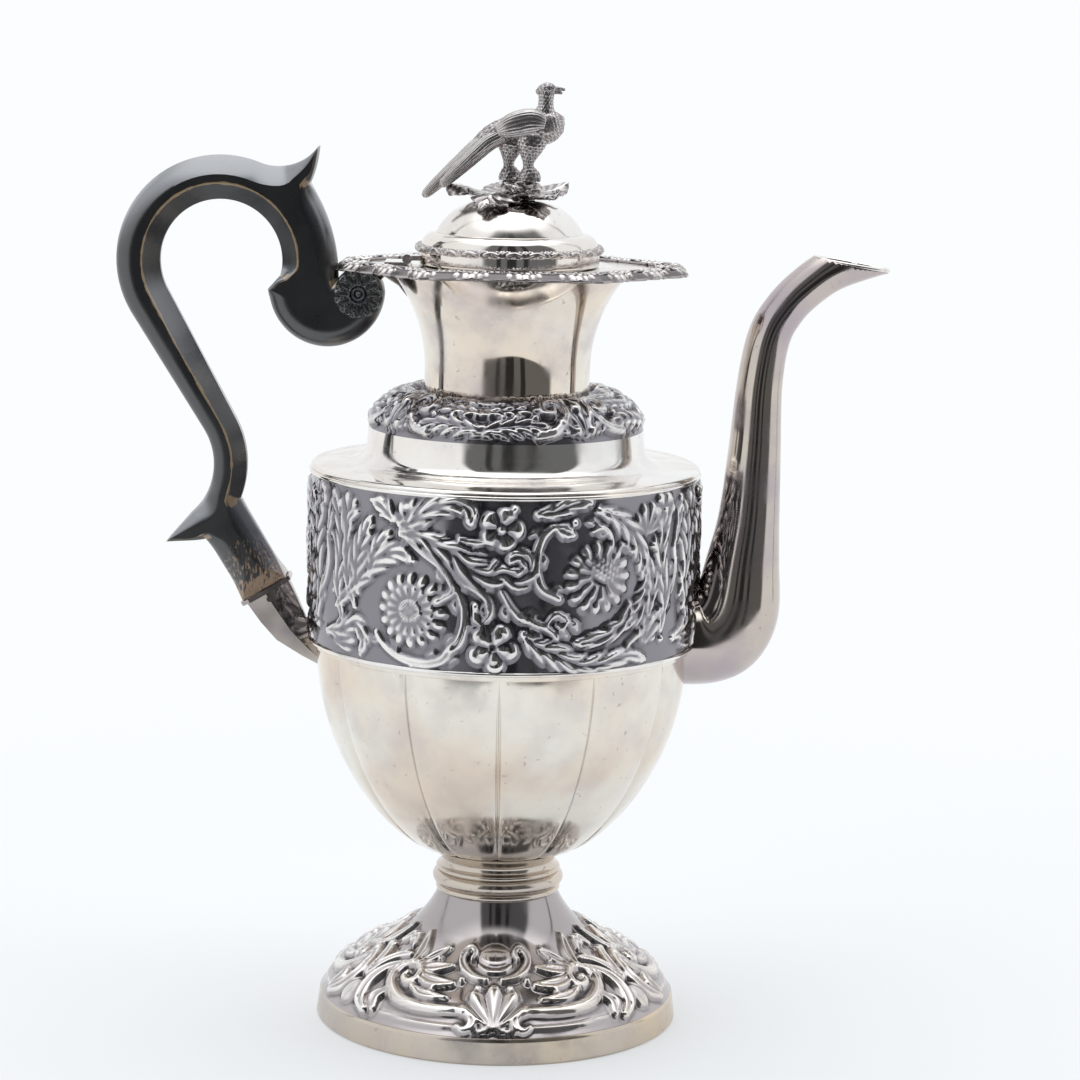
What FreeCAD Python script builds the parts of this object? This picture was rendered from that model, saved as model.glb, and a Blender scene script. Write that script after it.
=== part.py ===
import FreeCAD, Part
import math
import os
import Sketcher
from FreeCAD import Placement, Rotation, Vector

# Coffee pot: foot, lobed bowl, drum, neck and flange in sheet silver, a swan spout towards +X,
# a wooden scroll handle towards -X, and a domed lid with a bird on it, hinged at the handle.
# Millimetres. The origin is the centre of the foot's resting face, +Z is up.

sizes = {
    # Sheet and fits
    "wall": 1.2,
    "running_clearance": 0.05,
    "seat_gap": 0.3,
    "tongue_clearance": 0.15,
    # Foot and stem
    "foot_radius": 62.0,
    "foot_rim_height": 9.0,
    "foot_rim_taper": 1.0,
    "foot_rim_thickness": 1.8,
    "foot_edge_inset": 0.4,
    "foot_swell_radius": 37.0,
    "foot_swell_height": 17.0,
    "foot_swell": 1.6,
    "foot_sweep": 2.0,
    "foot_sweep_height": 18.0,
    "foot_relief": 1.1,
    "shell_share": 0.36,
    "shell_radius": 5.4,
    "upper_shell_share": 0.76,
    "upper_shell_radius": 3.0,
    "stem_radius": 20.5,
    "stem_bore_radius": 18.4,
    "bead_lower_height": 2.4,
    "bead_middle_height": 4.8,
    "bead_upper_height": 1.9,
    "bead_lower_swell": 0.9,
    "bead_middle_swell": 2.0,
    "bead_upper_swell": 0.8,
    "seat_waist_radius": 19.5,
    "seat_waist_height": 2.2,
    "seat_flare_height": 4.9,
    "seat_hollow": 1.1,
    # Lobed bowl
    "bowl_bottom_radius": 26.5,
    "bowl_inset": 2.4,
    "bowl_height": 69.5,
    "lobe_depth": 1.8,
    "bowl_ledge_height": 2.0,
    "bowl_ledge_lip": 0.2,
    "bowl_lap": 4.5,
    # Drum
    "band_radius": 65.8,
    "band_height": 59.0,
    "wire_height": 1.6,
    "wire_swell": 0.7,
    "frieze_relief": 0.5,
    "strainer_hole_radius": 1.7,
    "strainer_pitch": 5.2,
    "strainer_row_pitch": 4.6,
    "strainer_row_inset": 4.2,
    # Shoulder, leaf collar and neck
    "shoulder_rise": 1.2,
    "step_foot_radius": 51.0,
    "step_cove_radius": 47.2,
    "step_cove_height": 5.6,
    "step_cove": 1.6,
    "step_radius": 46.4,
    "step_wall_height": 6.0,
    "collar_height": 11.0,
    "collar_swell": 2.2,
    "neck_radius": 27.9,
    "neck_lap": 1.5,
    "neck_straight": 5.5,
    "neck_height": 45.2,
    "neck_flare": 3.3,
    "neck_top_radius": 41.0,
    "neck_wall": 1.1,
    # Flange and its border
    "flange_thickness": 1.0,
    "mouth_radius": 27.8,
    "border_half_length": 57.0,
    "border_half_depth": 41.4,
    "border_front_half": 29.0,
    "border_end_half": 12.5,
    "border_shift": 1.0,
    "border_width": 9.0,
    "border_thickness": 0.9,
    "border_lobe": 1.2,
    "border_overhang": 1.4,
    # Lid
    "lid_radius": 30.2,
    "lid_wall_height": 4.2,
    "strip_height": 2.4,
    "strip_swell": 1.1,
    "cushion_height": 4.0,
    "cushion_swell": 1.3,
    "dome_radius": 24.6,
    "dome_height": 10.8,
    "dome_swell": 3.3,
    "dome_flat_radius": 6.4,
    "bezel_clearance": 0.8,
    "bezel_depth": 5.2,
    "bezel_wall": 0.9,
    # Hinge
    "hinge_offset": 3.8,
    "knuckle_radius": 1.6,
    "knuckle_length": 4.3,
    "lid_knuckle_length": 4.8,
    "hinge_pin_radius": 0.7,
    "leaf_length": 7.5,
    "leaf_thickness": 0.8,
    # Finial
    "stud_radius": 1.5,
    "stud_length": 11.0,
    "washer_radius": 4.0,
    "washer_thickness": 0.8,
    "nut_radius": 3.2,
    "nut_height": 2.4,
    "leaf_hub_radius": 6.0,
    "leaf_plate_thickness": 1.1,
    "leaf_reach": 21.5,
    "leaf_half_width": 8.6,
    "leaf_tilt": 10.0,
    "rock_height": 6.4,
    "leg_height": 10.5,
    # Handle
    "handle_thickness": 14.0,
    "inner_chamfer": 4.2,
    "loop_out": 30.7,
    "loop_drop": 0.2,
    "loop_outer_radius": 35.2,
    "loop_inner_radius": 20.5,
    "bow_out": 55.2,
    "bow_rise": 58.5,
    "bow_hollow_radius": 22.4,
    "bow_width": 11.2,
    "thumb_back": 23.1,
    "thumb_rise": 38.5,
    "thumb_sweep": 4.4,
    "thumb_hollow": 0.9,
    "thumb_root_back": 25.6,
    "thumb_root_rise": 28.8,
    "shoulder_bow": 2.5,
    "volute_radius": 8.6,
    "volute_back": 9.1,
    "volute_drop": 9.2,
    "volute_bow": 18.2,
    "thorn_out": 16.1,
    "thorn_drop": 8.8,
    "thumb_angle": 68.0,
    "bow_end_angle": 48.0,
    "limb_angle": 20.0,
    "loop_end_angle": 12.0,
    "volute_start_angle": 10.0,
    "volute_end_angle": 146.0,
    "lower_spur_out": 48.5,
    "lower_spur_rise": 32.2,
    "spur_heel_out": 35.2,
    "spur_heel_rise": 33.0,
    "limb_width": 16.6,
    # Upper fixing of the handle
    "tongue_thickness": 3.0,
    "tongue_height": 9.0,
    "tongue_past_pin": 5.0,
    "wing_thickness": 1.6,
    "wing_height": 10.5,
    "wing_angle": 24.0,
    "wing_root": 0.55,
    "rosette_radius": 8.2,
    "rosette_thickness": 0.9,
    "petal_height": 0.9,
    "petal_circle": 5.6,
    "boss_radius": 2.3,
    "boss_height": 1.5,
    "upper_pin_radius": 1.5,
    # Lower fixing of the handle
    "socket_tilt": 149.0,
    "socket_out": 15.1,
    "socket_rise": 16.4,
    "socket_half_depth": 7.4,
    "socket_corner": 2.6,
    "socket_rim_height": 1.5,
    "socket_rim_swell": 0.7,
    "tenon_width": 11.0,
    "tenon_depth": 9.0,
    "tenon_length": 10.0,
    "socket_pin_radius": 1.0,
    "socket_pin_depth": 3.6,
    "socket_middle_out": 6.6,
    "socket_middle_rise": 3.6,
    "socket_middle_tilt": 144.0,
    "socket_middle_half": 6.7,
    "socket_middle_half_depth": 5.6,
    "socket_end_inset": 9.0,
    "socket_end_drop": 1.6,
    "socket_end_tilt": 98.0,
    "socket_end_half": 5.2,
    "socket_end_half_depth": 4.4,
    "socket_lip": 0.4,
    # Spout
    "spout_wall": 0.9,
    "lip_height": 0.9,
    "lip_swell": 0.35,
    "lip_start_out": 38.2,
    "lip_start_rise": 132.6,
    "lip_end_out": 63.8,
    "lip_end_rise": 128.6,
}

# Round sections along the spout: distance out from the drum, rise above its lower edge, lean and radius.
spout_stations = {
    "root": (-9.0, 1.0, 90.0, 14.6),
    "elbow_start": (1.5, 1.0, 86.0, 14.6),
    "elbow": (12.9, 7.4, 45.0, 14.6),
    "base": (15.4, 27.0, 4.0, 11.8),
    "lower": (17.1, 43.0, 4.0, 9.6),
    "middle": (18.3, 65.0, 3.0, 8.1),
    "upper": (19.4, 89.0, 4.0, 6.8),
    "bend_start": (22.0, 105.0, 16.0, 6.4),
    "bend": (26.9, 114.4, 32.0, 6.2),
    "bend_end": (33.4, 121.5, 47.0, 6.2),
    "slope": (42.2, 128.0, 60.0, 6.3),
    "tip": (53.6, 132.6, 70.0, 6.4),
    "past_tip": (64.0, 135.6, 75.0, 6.4),
}

# Round sections of the bird: forward of the lid's axis, height above the rock, lean and radius.
bird_stations = {
    "rump": (-5.6, 14.0, 64.0, 1.9),
    "back": (0.2, 15.6, 80.0, 5.0),
    "chest": (7.4, 16.6, 80.0, 6.1),
    "breast": (13.6, 18.0, 72.0, 4.3),
    "front": (16.9, 19.0, 70.0, 1.6),
}
neck_stations = {
    "neck_root": (9.4, 17.2, 20.0, 4.8),
    "neck": (12.0, 22.4, 2.0, 3.2),
    "throat": (11.8, 25.6, -4.0, 2.3),
    "head": (11.5, 28.6, 0.0, 2.9),
    "crown": (11.7, 31.2, 0.0, 1.3),
}
tail_stations = {
    "tail_tip": (-28.4, -6.2, 47.0, 0.9),
    "tail_middle": (-18.6, 2.9, 47.0, 2.3),
    "tail_cover": (-9.6, 11.0, 50.0, 3.2),
    "tail_root": (2.4, 15.9, 66.0, 3.7),
}
beak_stations = {
    "beak_root": (12.6, 29.0, 75.0, 1.5),
    "beak_tip": (17.0, 29.9, 75.0, 0.4),
}
# Raised flowers on half of the drum: angle from the front, rise above its lower edge, turn and radius.
frieze_flowers = {
    "sunflower": (-26.3, 20.2, 0.0, 9.8),
    "poppy": (28.7, 31.9, 12.0, 9.0),
    "rose": (0.0, 47.6, 18.0, 5.8),
    "low_leaf": (-1.7, 9.4, 0.0, 4.8),
    "side_flower": (58.0, 22.0, 0.0, 8.0),
    "far_flower": (-60.0, 40.0, 0.0, 7.6),
    "end_flower": (90.0, 38.0, 0.0, 7.6),
}
# Raised leaves there: angle and rise of the middle, reach to each tip along and up, bow and half width.
frieze_leaves = {
    "stem_leaf": (-38.0, 36.0, 10.0, 6.0, -4.2, 2.4),
    "main_leaf": (-15.0, 36.5, 10.0, -4.4, -1.2, 2.8),
    "curled_leaf": (-20.0, 51.5, 9.0, 1.4, -3.0, 2.3),
    "bent_leaf": (40.0, 44.0, 8.4, -9.6, -4.6, 2.4),
    "floor_leaf": (21.0, 7.4, 10.0, -1.0, 2.2, 2.6),
}
for stations, prefix in ((spout_stations, "spout_"), (bird_stations, "bird_"), (neck_stations, "bird_"),
                         (tail_stations, "bird_"), (beak_stations, "bird_")):
    for station, values in stations.items():
        for what, value in zip(("along", "rise", "lean", "radius"), values):
            sizes[prefix + station + "_" + what] = value
for station, values in frieze_flowers.items():
    for what, value in zip(("angle", "rise", "turn", "radius"), values):
        sizes["frieze_" + station + "_" + what] = value
for station, values in frieze_leaves.items():
    for what, value in zip(("angle", "rise", "reach", "climb", "bow", "half"), values):
        sizes["frieze_" + station + "_" + what] = value

lobe_count = 12
petal_count = 12
flower_petals = {"sunflower": 11, "poppy": 7, "rose": 5, "low_leaf": 5, "side_flower": 7, "far_flower": 6,
                 "end_flower": 6, "shell": 7, "upper_shell": 5}
frieze_repeats = 2
petal_share = 0.6
sink_share = 0.9
foot_repeats = 8
leaf_count = 5
strainer_row = 4
bowl_steps = (0.0, 0.05, 0.15, 0.32, 0.55, 0.78, 1.0)

doc = FreeCAD.newDocument("coffee_pot")
sheet = doc.addObject("Spreadsheet::Sheet", "Sizes")
for row, (name, value) in enumerate(sizes.items(), start=1):
    sheet.set(f"A{row}", name)
    sheet.set(f"B{row}", str(value))
    sheet.setAlias(f"B{row}", name)
doc.recompute()


class Size:
    # A number together with the sheet formula that it comes from.
    def __init__(self, value, formula):
        self.value = value
        self.formula = formula

    def __add__(self, other):
        other = as_size(other)
        return Size(self.value + other.value, f"({self.formula} + {other.formula})")

    def __sub__(self, other):
        other = as_size(other)
        return Size(self.value - other.value, f"({self.formula} - {other.formula})")

    def __mul__(self, other):
        other = as_size(other)
        return Size(self.value * other.value, f"({self.formula} * {other.formula})")

    def __truediv__(self, other):
        other = as_size(other)
        return Size(self.value / other.value, f"({self.formula} / {other.formula})")

    def __neg__(self):
        return Size(-self.value, f"(-1 * {self.formula})")

    def __radd__(self, other):
        return as_size(other) + self

    def __rsub__(self, other):
        return as_size(other) - self

    def __rmul__(self, other):
        return as_size(other) * self


def as_size(number):
    if isinstance(number, Size):
        return number
    return Size(float(number), f"({float(number):.9f})")


def cosine(angle):
    angle = as_size(angle)
    return Size(math.cos(math.radians(angle.value)), f"cos({angle.formula})")


def sine(angle):
    angle = as_size(angle)
    return Size(math.sin(math.radians(angle.value)), f"sin({angle.formula})")


def arc_cosine(share):
    return Size(math.degrees(math.acos(share.value)), f"(acos({share.formula}) / 1 deg)")


def direction(across, up):
    value = math.degrees(math.atan2(up.value, across.value))
    return Size(value, f"(atan2({up.formula}; {across.formula}) / 1 deg)")


def length_of(across, up):
    value = math.hypot(across.value, up.value)
    return Size(value, f"sqrt({across.formula} * {across.formula} + {up.formula} * {up.formula})")


def polar(centre, radius, angle):
    return centre[0] + radius * cosine(angle), centre[1] + radius * sine(angle)


def size(name):
    return Size(sizes[name], "Sizes." + name)


# Levels, from the resting face up
rim_top = size("foot_rim_height")
swell_top = rim_top + size("foot_swell_height")
foot_top = swell_top + size("foot_sweep_height")
ring_top = foot_top + size("bead_lower_height") + size("bead_middle_height") + size("bead_upper_height")
waist_level = ring_top + size("seat_waist_height")
bowl_bottom = waist_level + size("seat_flare_height")
bowl_top = bowl_bottom + size("bowl_height")
band_bottom = bowl_top + size("bowl_ledge_height")
band_top = band_bottom + size("band_height")
shoulder_edge = band_top + size("wall")
step_foot = shoulder_edge + size("shoulder_rise")
cove_top = step_foot + size("step_cove_height")
step_top = cove_top + size("step_wall_height")
collar_top = step_top + size("collar_height")
neck_bottom = collar_top - size("wall") - size("neck_lap")
flange_bottom = neck_bottom + size("neck_height")
flange_top = flange_bottom + size("flange_thickness")
lid_bottom = flange_top + size("seat_gap")
strip_bottom = lid_bottom + size("lid_wall_height")
cushion_bottom = strip_bottom + size("strip_height")
dome_bottom = cushion_bottom + size("cushion_height")
dome_top = dome_bottom + size("dome_height")
rock_bottom = dome_top + size("leaf_plate_thickness")
rock_top = rock_bottom + size("rock_height")
band_bore = size("band_radius") - size("wall")
bowl_top_radius = size("band_radius") - size("bowl_inset")
hinge_x = -(size("lid_radius") + size("hinge_offset"))
hinge_z = flange_top + size("knuckle_radius") + size("seat_gap")


def new_body(name):
    body = doc.addObject("PartDesign::Body", name)
    body.Label = name
    return body


def new_sketch(body, name, plane, place=None):
    sketch = body.newObject("Sketcher::SketchObject", name)
    support = [item for item in body.Origin.OriginFeatures if item.Role == plane][0]
    sketch.AttachmentSupport = [(support, "")]
    sketch.MapMode = "FlatFace"
    if place:
        across, rise, lean = [as_size(number) for number in place]
        sketch.AttachmentOffset = Placement(Vector(across.value, 0, rise.value),
                                            Rotation(Vector(0, 1, 0), lean.value))
        sketch.setExpression("AttachmentOffset.Base.x", across.formula)
        sketch.setExpression("AttachmentOffset.Base.z", rise.formula)
        sketch.setExpression("AttachmentOffset.Rotation.Angle", lean.formula)
    return sketch


def pin_point(constraints, formulas, edge, end, corner):
    # Fixes one end of an edge at a corner; a zero lies on the axis.
    for kind, axis, number in (("DistanceX", -2, corner[0]), ("DistanceY", -1, corner[1])):
        number = as_size(number)
        if abs(number.value) < 1e-7:
            constraints.append(Sketcher.Constraint("PointOnObject", edge, end, axis))
        else:
            formulas[len(constraints)] = number.formula
            constraints.append(Sketcher.Constraint(kind, -1, 1, edge, end, number.value))


def bulged_edge(start, end, bulge):
    # An arc that stands out by bulge on the right of the way from start to end, and its ends in order.
    chord = end - start
    reach = abs(bulge)
    radius = (chord.Length ** 2 / 4 + reach ** 2) / (2 * reach)
    left = Vector(-chord.y, chord.x, 0).normalize()
    turn = 1 if bulge > 0 else -1
    centre = (start + end) * 0.5 + left * (turn * (radius - reach))
    first, last = (start, end) if bulge > 0 else (end, start)
    from_angle = math.atan2(first.y - centre.y, first.x - centre.x)
    to_angle = math.atan2(last.y - centre.y, last.x - centre.x)
    if to_angle < from_angle:
        to_angle += 2 * math.pi
    arc = Part.ArcOfCircle(Part.Circle(centre, Vector(0, 0, 1), radius), from_angle, to_angle)
    return arc, ((1, 2) if bulge > 0 else (2, 1))


def bulge_radius(start, end, bulge):
    across = as_size(end[0]) - start[0]
    up = as_size(end[1]) - start[1]
    return ((across * across + up * up) / 4 + bulge * bulge) / (2 * bulge)


def outline(body, name, corners, bulges=None, plane="XZ_Plane", place=None):
    # A closed outline through the corners; bulges gives the edges, by first corner, that are arcs.
    bulges = bulges or {}
    sketch = new_sketch(body, name, plane, place)
    points = [Vector(as_size(x).value, as_size(y).value, 0) for x, y in corners]
    count = len(corners)
    ends = []
    for index in range(count):
        start, end = points[index], points[(index + 1) % count]
        if index in bulges:
            edge, order = bulged_edge(start, end, as_size(bulges[index]).value)
        else:
            edge, order = Part.LineSegment(start, end), (1, 2)
        sketch.addGeometry(edge, False)
        ends.append(order)
    constraints = []
    formulas = {}
    for index in range(count):
        before = (index - 1) % count
        constraints.append(Sketcher.Constraint("Coincident", before, ends[before][1], index, ends[index][0]))
        pin_point(constraints, formulas, index, ends[index][0], corners[index])
    for index, bulge in bulges.items():
        radius = bulge_radius(corners[index], corners[(index + 1) % count], as_size(bulge))
        sign = 1 if radius.value > 0 else -1
        formulas[len(constraints)] = (radius * sign).formula
        constraints.append(Sketcher.Constraint("Radius", index, abs(radius.value)))
    sketch.addConstraint(constraints)
    for index, formula in formulas.items():
        sketch.setExpression(f"Constraints[{index}]", formula)
    return sketch


def circles(body, name, places, plane="XY_Plane", place=None):
    # Round outlines, each given by its centre and radius.
    sketch = new_sketch(body, name, plane, place)
    constraints = []
    formulas = {}
    for index, (x, y, radius) in enumerate(places):
        x, y, radius = as_size(x), as_size(y), as_size(radius)
        sketch.addGeometry(Part.Circle(Vector(x.value, y.value, 0), Vector(0, 0, 1), radius.value), False)
        pin_point(constraints, formulas, index, 3, (x, y))
        formulas[len(constraints)] = radius.formula
        constraints.append(Sketcher.Constraint("Radius", index, radius.value))
    sketch.addConstraint(constraints)
    for index, formula in formulas.items():
        sketch.setExpression(f"Constraints[{index}]", formula)
    return sketch


def revolve(body, sketch, kind="PartDesign::Revolution", angle=360):
    feature = body.newObject(kind, sketch.Name + "_turned")
    feature.Profile = sketch
    feature.ReferenceAxis = (sketch, ["V_Axis"])
    angle = as_size(angle)
    feature.Angle = angle.value
    feature.setExpression("Angle", angle.formula)
    return feature


def pad(body, sketch, length, symmetric=False, reverse=False, kind="PartDesign::Pad"):
    feature = body.newObject(kind, sketch.Name + "_" + kind.split("::")[1].lower())
    feature.Profile = sketch
    length = as_size(length)
    feature.Length = length.value
    feature.setExpression("Length", length.formula)
    feature.SideType = "Symmetric" if symmetric else "One side"
    feature.Reversed = reverse
    return feature


def pocket(body, sketch, length, symmetric=False, reverse=False):
    return pad(body, sketch, length, symmetric, reverse, "PartDesign::Pocket")


def loft(body, name, sections, kind="PartDesign::AdditiveLoft"):
    feature = body.newObject(kind, name)
    feature.Profile = sections[0]
    feature.Sections = sections[1:]
    return feature


def turned(name, corners, bulges=None):
    body = new_body(name)
    revolve(body, outline(body, name + "_profile", corners, bulges))
    return body


def turned_shell(name, path, wall):
    # A sheet of revolution along a path of (radius, level, lean of the inward side, bulge to the next).
    outer = [(as_size(radius), as_size(level)) for radius, level, lean, bulge in path]
    inner = [(radius - wall * cosine(step[2]), level - wall * sine(step[2]))
             for (radius, level), step in zip(outer, path)]
    bulges = {}
    for index, step in enumerate(path[:-1]):
        if step[3] is not None:
            bulges[index] = as_size(step[3])
            bulges[2 * len(path) - 2 - index] = -as_size(step[3])
    return turned(name, outer + inner[::-1], bulges)


def bowl_radius(share):
    # The bowl's outline: a quarter of a full oval from the seat up to the drum.
    fullness = (1 - (1 - share) ** 2) ** 0.75
    return size("bowl_bottom_radius") + (bowl_top_radius - size("bowl_bottom_radius")) * fullness


def bowl_level(share):
    return bowl_bottom + size("bowl_height") * share


def lobe_section(body, name, radius, depth, level):
    crease = radius - depth
    angles = [2 * math.pi * index / lobe_count for index in range(lobe_count)]
    corners = [(crease * math.cos(angle), crease * math.sin(angle)) for angle in angles]
    stand = radius - crease * math.cos(math.pi / lobe_count)
    bulges = {index: stand for index in range(lobe_count)}
    return outline(body, name, corners, bulges, "XY_Plane", (0, level, 0))


def strainer_holes(body, name, first_row, row_step):
    # Two staggered rows of round holes behind the spout, cut outwards from the middle of the pot.
    places = []
    for row in range(2):
        level = first_row + row_step * row
        for index in range(strainer_row - row):
            shift = size("strainer_pitch") * (index - (strainer_row - row - 1) / 2)
            places.append((shift, level, size("strainer_hole_radius")))
    return pocket(body, circles(body, name, places, "YZ_Plane"), size("band_radius") * 2, reverse=True)


def petal_ring(body, name, centre, radius, turn, plane, place):
    # A flower's outline, of shallow petals round a centre.
    count = flower_petals[name]
    corners = [polar(centre, radius, turn + 360 * index / count) for index in range(count)]
    petal = radius * (petal_share * math.pi / count)
    return outline(body, name, corners, {index: petal for index in range(count)}, plane, place)


def repeat_round(body, features, count):
    # Copies raised forms evenly round the pot's axis.
    around = body.newObject("PartDesign::PolarPattern", body.Name + "_repeats")
    around.Originals = features
    around.Axis = ([item for item in body.Origin.OriginFeatures if item.Role == "Z_Axis"][0], [""])
    around.Angle = 360
    around.Occurrences = count
    body.Tip = around


def raise_foot_shells(body, edge):
    # Shells stand on the foot's slope, from planes that touch it sunk into its wall.
    across = size("foot_swell_radius") - edge
    up = size("foot_swell_height")
    chord = length_of(across, up)
    sink = size("wall") * sink_share
    forms = []
    for name in ("shell", "upper_shell"):
        share = size(name + "_share")
        stand = size("foot_swell") * 4 * share * (1 - share) - sink
        place = (edge + across * share + up / chord * stand, rim_top + up * share - across / chord * stand,
                 direction(-across, up) + size("foot_swell") / chord * (1 - 2 * share) * (4 * 180 / math.pi))
        centre = (as_size(0), as_size(0))
        sketch = petal_ring(body, name, centre, size(name + "_radius"), as_size(0), "XY_Plane", place)
        forms.append(pad(body, sketch, sink + size("foot_relief")))
    repeat_round(body, forms, foot_repeats)


def raise_frieze(body):
    # Flowers and leaves stand on the drum, from planes that touch it sunk into its wall.
    sink = size("wall") * sink_share
    depth = size("band_radius") - sink
    forms = []
    for name in list(frieze_flowers) + list(frieze_leaves):
        angle = size(f"frieze_{name}_angle")
        rise = band_bottom + size(f"frieze_{name}_rise")
        place = (depth * sine(angle), depth * cosine(angle), angle)
        if name in frieze_flowers:
            sketch = petal_ring(body, name, (as_size(0), rise), size(f"frieze_{name}_radius"),
                                size(f"frieze_{name}_turn"), "XZ_Plane", place)
        else:
            reach = size(f"frieze_{name}_reach")
            climb = size(f"frieze_{name}_climb")
            bow = size(f"frieze_{name}_bow")
            half = size(f"frieze_{name}_half")
            sketch = outline(body, name, [(-reach, rise - climb), (reach, rise + climb)],
                             {0: half + bow, 1: half - bow}, "XZ_Plane", place)
        forms.append(pad(body, sketch, sink + size("frieze_relief")))
    repeat_round(body, forms, frieze_repeats)


def make_foot():
    rim_inset = size("foot_rim_taper")
    thickness = size("foot_rim_thickness")
    radius = size("foot_radius")
    turned("foot_rim", [(radius, 0), (radius - rim_inset, rim_top),
                        (radius - rim_inset - thickness, rim_top), (radius - thickness, 0)])
    edge = radius - rim_inset - size("foot_edge_inset")
    dome = turned_shell("foot_dome", [(edge, rim_top, 0, size("foot_swell")),
                                      (size("foot_swell_radius"), swell_top, 45, -size("foot_sweep")),
                                      (size("stem_radius"), foot_top, 0, None)], size("wall"))
    raise_foot_shells(dome, edge)
    stem = size("stem_radius")
    bore = size("stem_bore_radius")
    first = foot_top + size("bead_lower_height")
    second = first + size("bead_middle_height")
    turned("stem_ring", [(stem, foot_top), (stem, first), (stem, second), (stem, ring_top),
                         (bore, ring_top), (bore, foot_top)],
           {0: size("bead_lower_swell"), 1: size("bead_middle_swell"), 2: size("bead_upper_swell")})
    turned_shell("bowl_seat", [(stem, ring_top, 0, None),
                               (size("seat_waist_radius"), waist_level, 0, -size("seat_hollow")),
                               (size("bowl_bottom_radius"), bowl_bottom, 0, None)], size("wall"))


def make_bowl():
    body = new_body("bowl")
    wall = size("wall")
    outer = []
    inner = []
    for index, share in enumerate(bowl_steps):
        depth = size("lobe_depth") * (0.4 + 0.6 * math.sin(math.pi * share))
        section = lobe_section(body, f"outer_section_{index}", bowl_radius(share), depth, bowl_level(share))
        outer.append(section)
        level = bowl_level(share) if index else bowl_bottom + wall
        start = bowl_radius(share) if index else bowl_radius(share) + wall
        inner.append(lobe_section(body, f"inner_section_{index}", start - wall, depth, level))
    loft(body, "lobes", outer)
    loft(body, "hollow", inner, "PartDesign::SubtractiveLoft")
    inside = bowl_top_radius - size("lobe_depth") * 0.4 - wall
    edge = bowl_top_radius + size("bowl_ledge_lip")
    lap_top = band_bottom + size("bowl_lap")
    ledge = outline(body, "ledge", [(inside, bowl_top), (edge, bowl_top), (band_bore, band_bottom),
                                    (band_bore, lap_top), (band_bore - wall, lap_top),
                                    (band_bore - wall, band_bottom)])
    revolve(body, ledge)
    strainer_holes(body, "strainer", bowl_top - size("strainer_row_inset"), -size("strainer_row_pitch"))


def make_drum():
    radius = size("band_radius")
    body = turned("frieze_band", [(radius, band_bottom), (radius, band_top), (band_bore, band_top),
                                  (band_bore, band_bottom)])
    raise_frieze(body)
    first_row = band_bottom + size("bowl_lap") + size("strainer_hole_radius") + size("wall")
    strainer_holes(body, "strainer", first_row, size("strainer_row_pitch"))
    upper_wire = band_top - size("wire_height")
    for name, level in (("band_lower_wire", band_bottom), ("band_upper_wire", upper_wire)):
        turned(name, [(radius, level), (radius, level + size("wire_height"))], {0: size("wire_swell")})


def make_shoulder():
    turned_shell("shoulder", [(size("band_radius"), shoulder_edge, 90, None),
                              (size("step_foot_radius"), step_foot, 80, -size("step_cove")),
                              (size("step_cove_radius"), cove_top, 15, None),
                              (size("step_radius"), step_top, 0, None)], size("wall"))
    turned_shell("leaf_collar", [(size("step_radius"), step_top, 0, size("collar_swell")),
                                 (size("neck_radius"), collar_top, 90, None)], size("wall"))
    turned_shell("neck", [(size("neck_radius"), neck_bottom, 0, None),
                          (size("neck_radius"), neck_bottom + size("neck_straight"), 0, -size("neck_flare")),
                          (size("neck_top_radius"), flange_bottom, 0, None)], size("neck_wall"))


def octagon(inset):
    # The flange's eight corners, anticlockwise, drawn in by inset on every side.
    shift = size("border_shift")
    long_half = size("border_half_length") - inset
    deep_half = size("border_half_depth") - inset
    front = size("border_front_half") - inset * 0.4
    end = size("border_end_half") - inset * 0.4
    quarter = [(long_half, end), (front, deep_half)]
    corners = quarter + [(-x, y) for x, y in quarter[::-1]]
    corners += [(-x, -y) for x, y in quarter] + [(x, -y) for x, y in quarter[::-1]]
    return [(x + shift, y) for x, y in corners]


def lobed_octagon():
    # The border's outer edge: each side of the octagon is a row of small leaf tips.
    corners = octagon(as_size(0))
    tips = (4, 7, 4, 3, 4, 7, 4, 3)
    points = []
    for index, count in enumerate(tips):
        (x0, y0), (x1, y1) = corners[index], corners[(index + 1) % 8]
        for step in range(count):
            points.append((x0 + (x1 - x0) * (step / count), y0 + (y1 - y0) * (step / count)))
    return points, {index: size("border_lobe") for index in range(len(points))}


def make_flange():
    plate = new_body("mouth_flange")
    pad(plate, outline(plate, "plate", octagon(size("border_overhang")), None, "XY_Plane",
                       (0, flange_bottom, 0)), size("flange_thickness"))
    pocket(plate, circles(plate, "mouth", [(0, 0, size("mouth_radius"))], "XY_Plane", (0, flange_top, 0)),
           size("flange_thickness"))
    border = new_body("flange_border")
    points, lobes = lobed_octagon()
    pad(border, outline(border, "vine_edge", points, lobes, "XY_Plane", (0, flange_top, 0)),
        size("border_thickness"))
    pocket(border, outline(border, "inner_edge", octagon(size("border_width")), None, "XY_Plane",
                           (0, flange_top + size("border_thickness"), 0)), size("border_thickness"))


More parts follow.
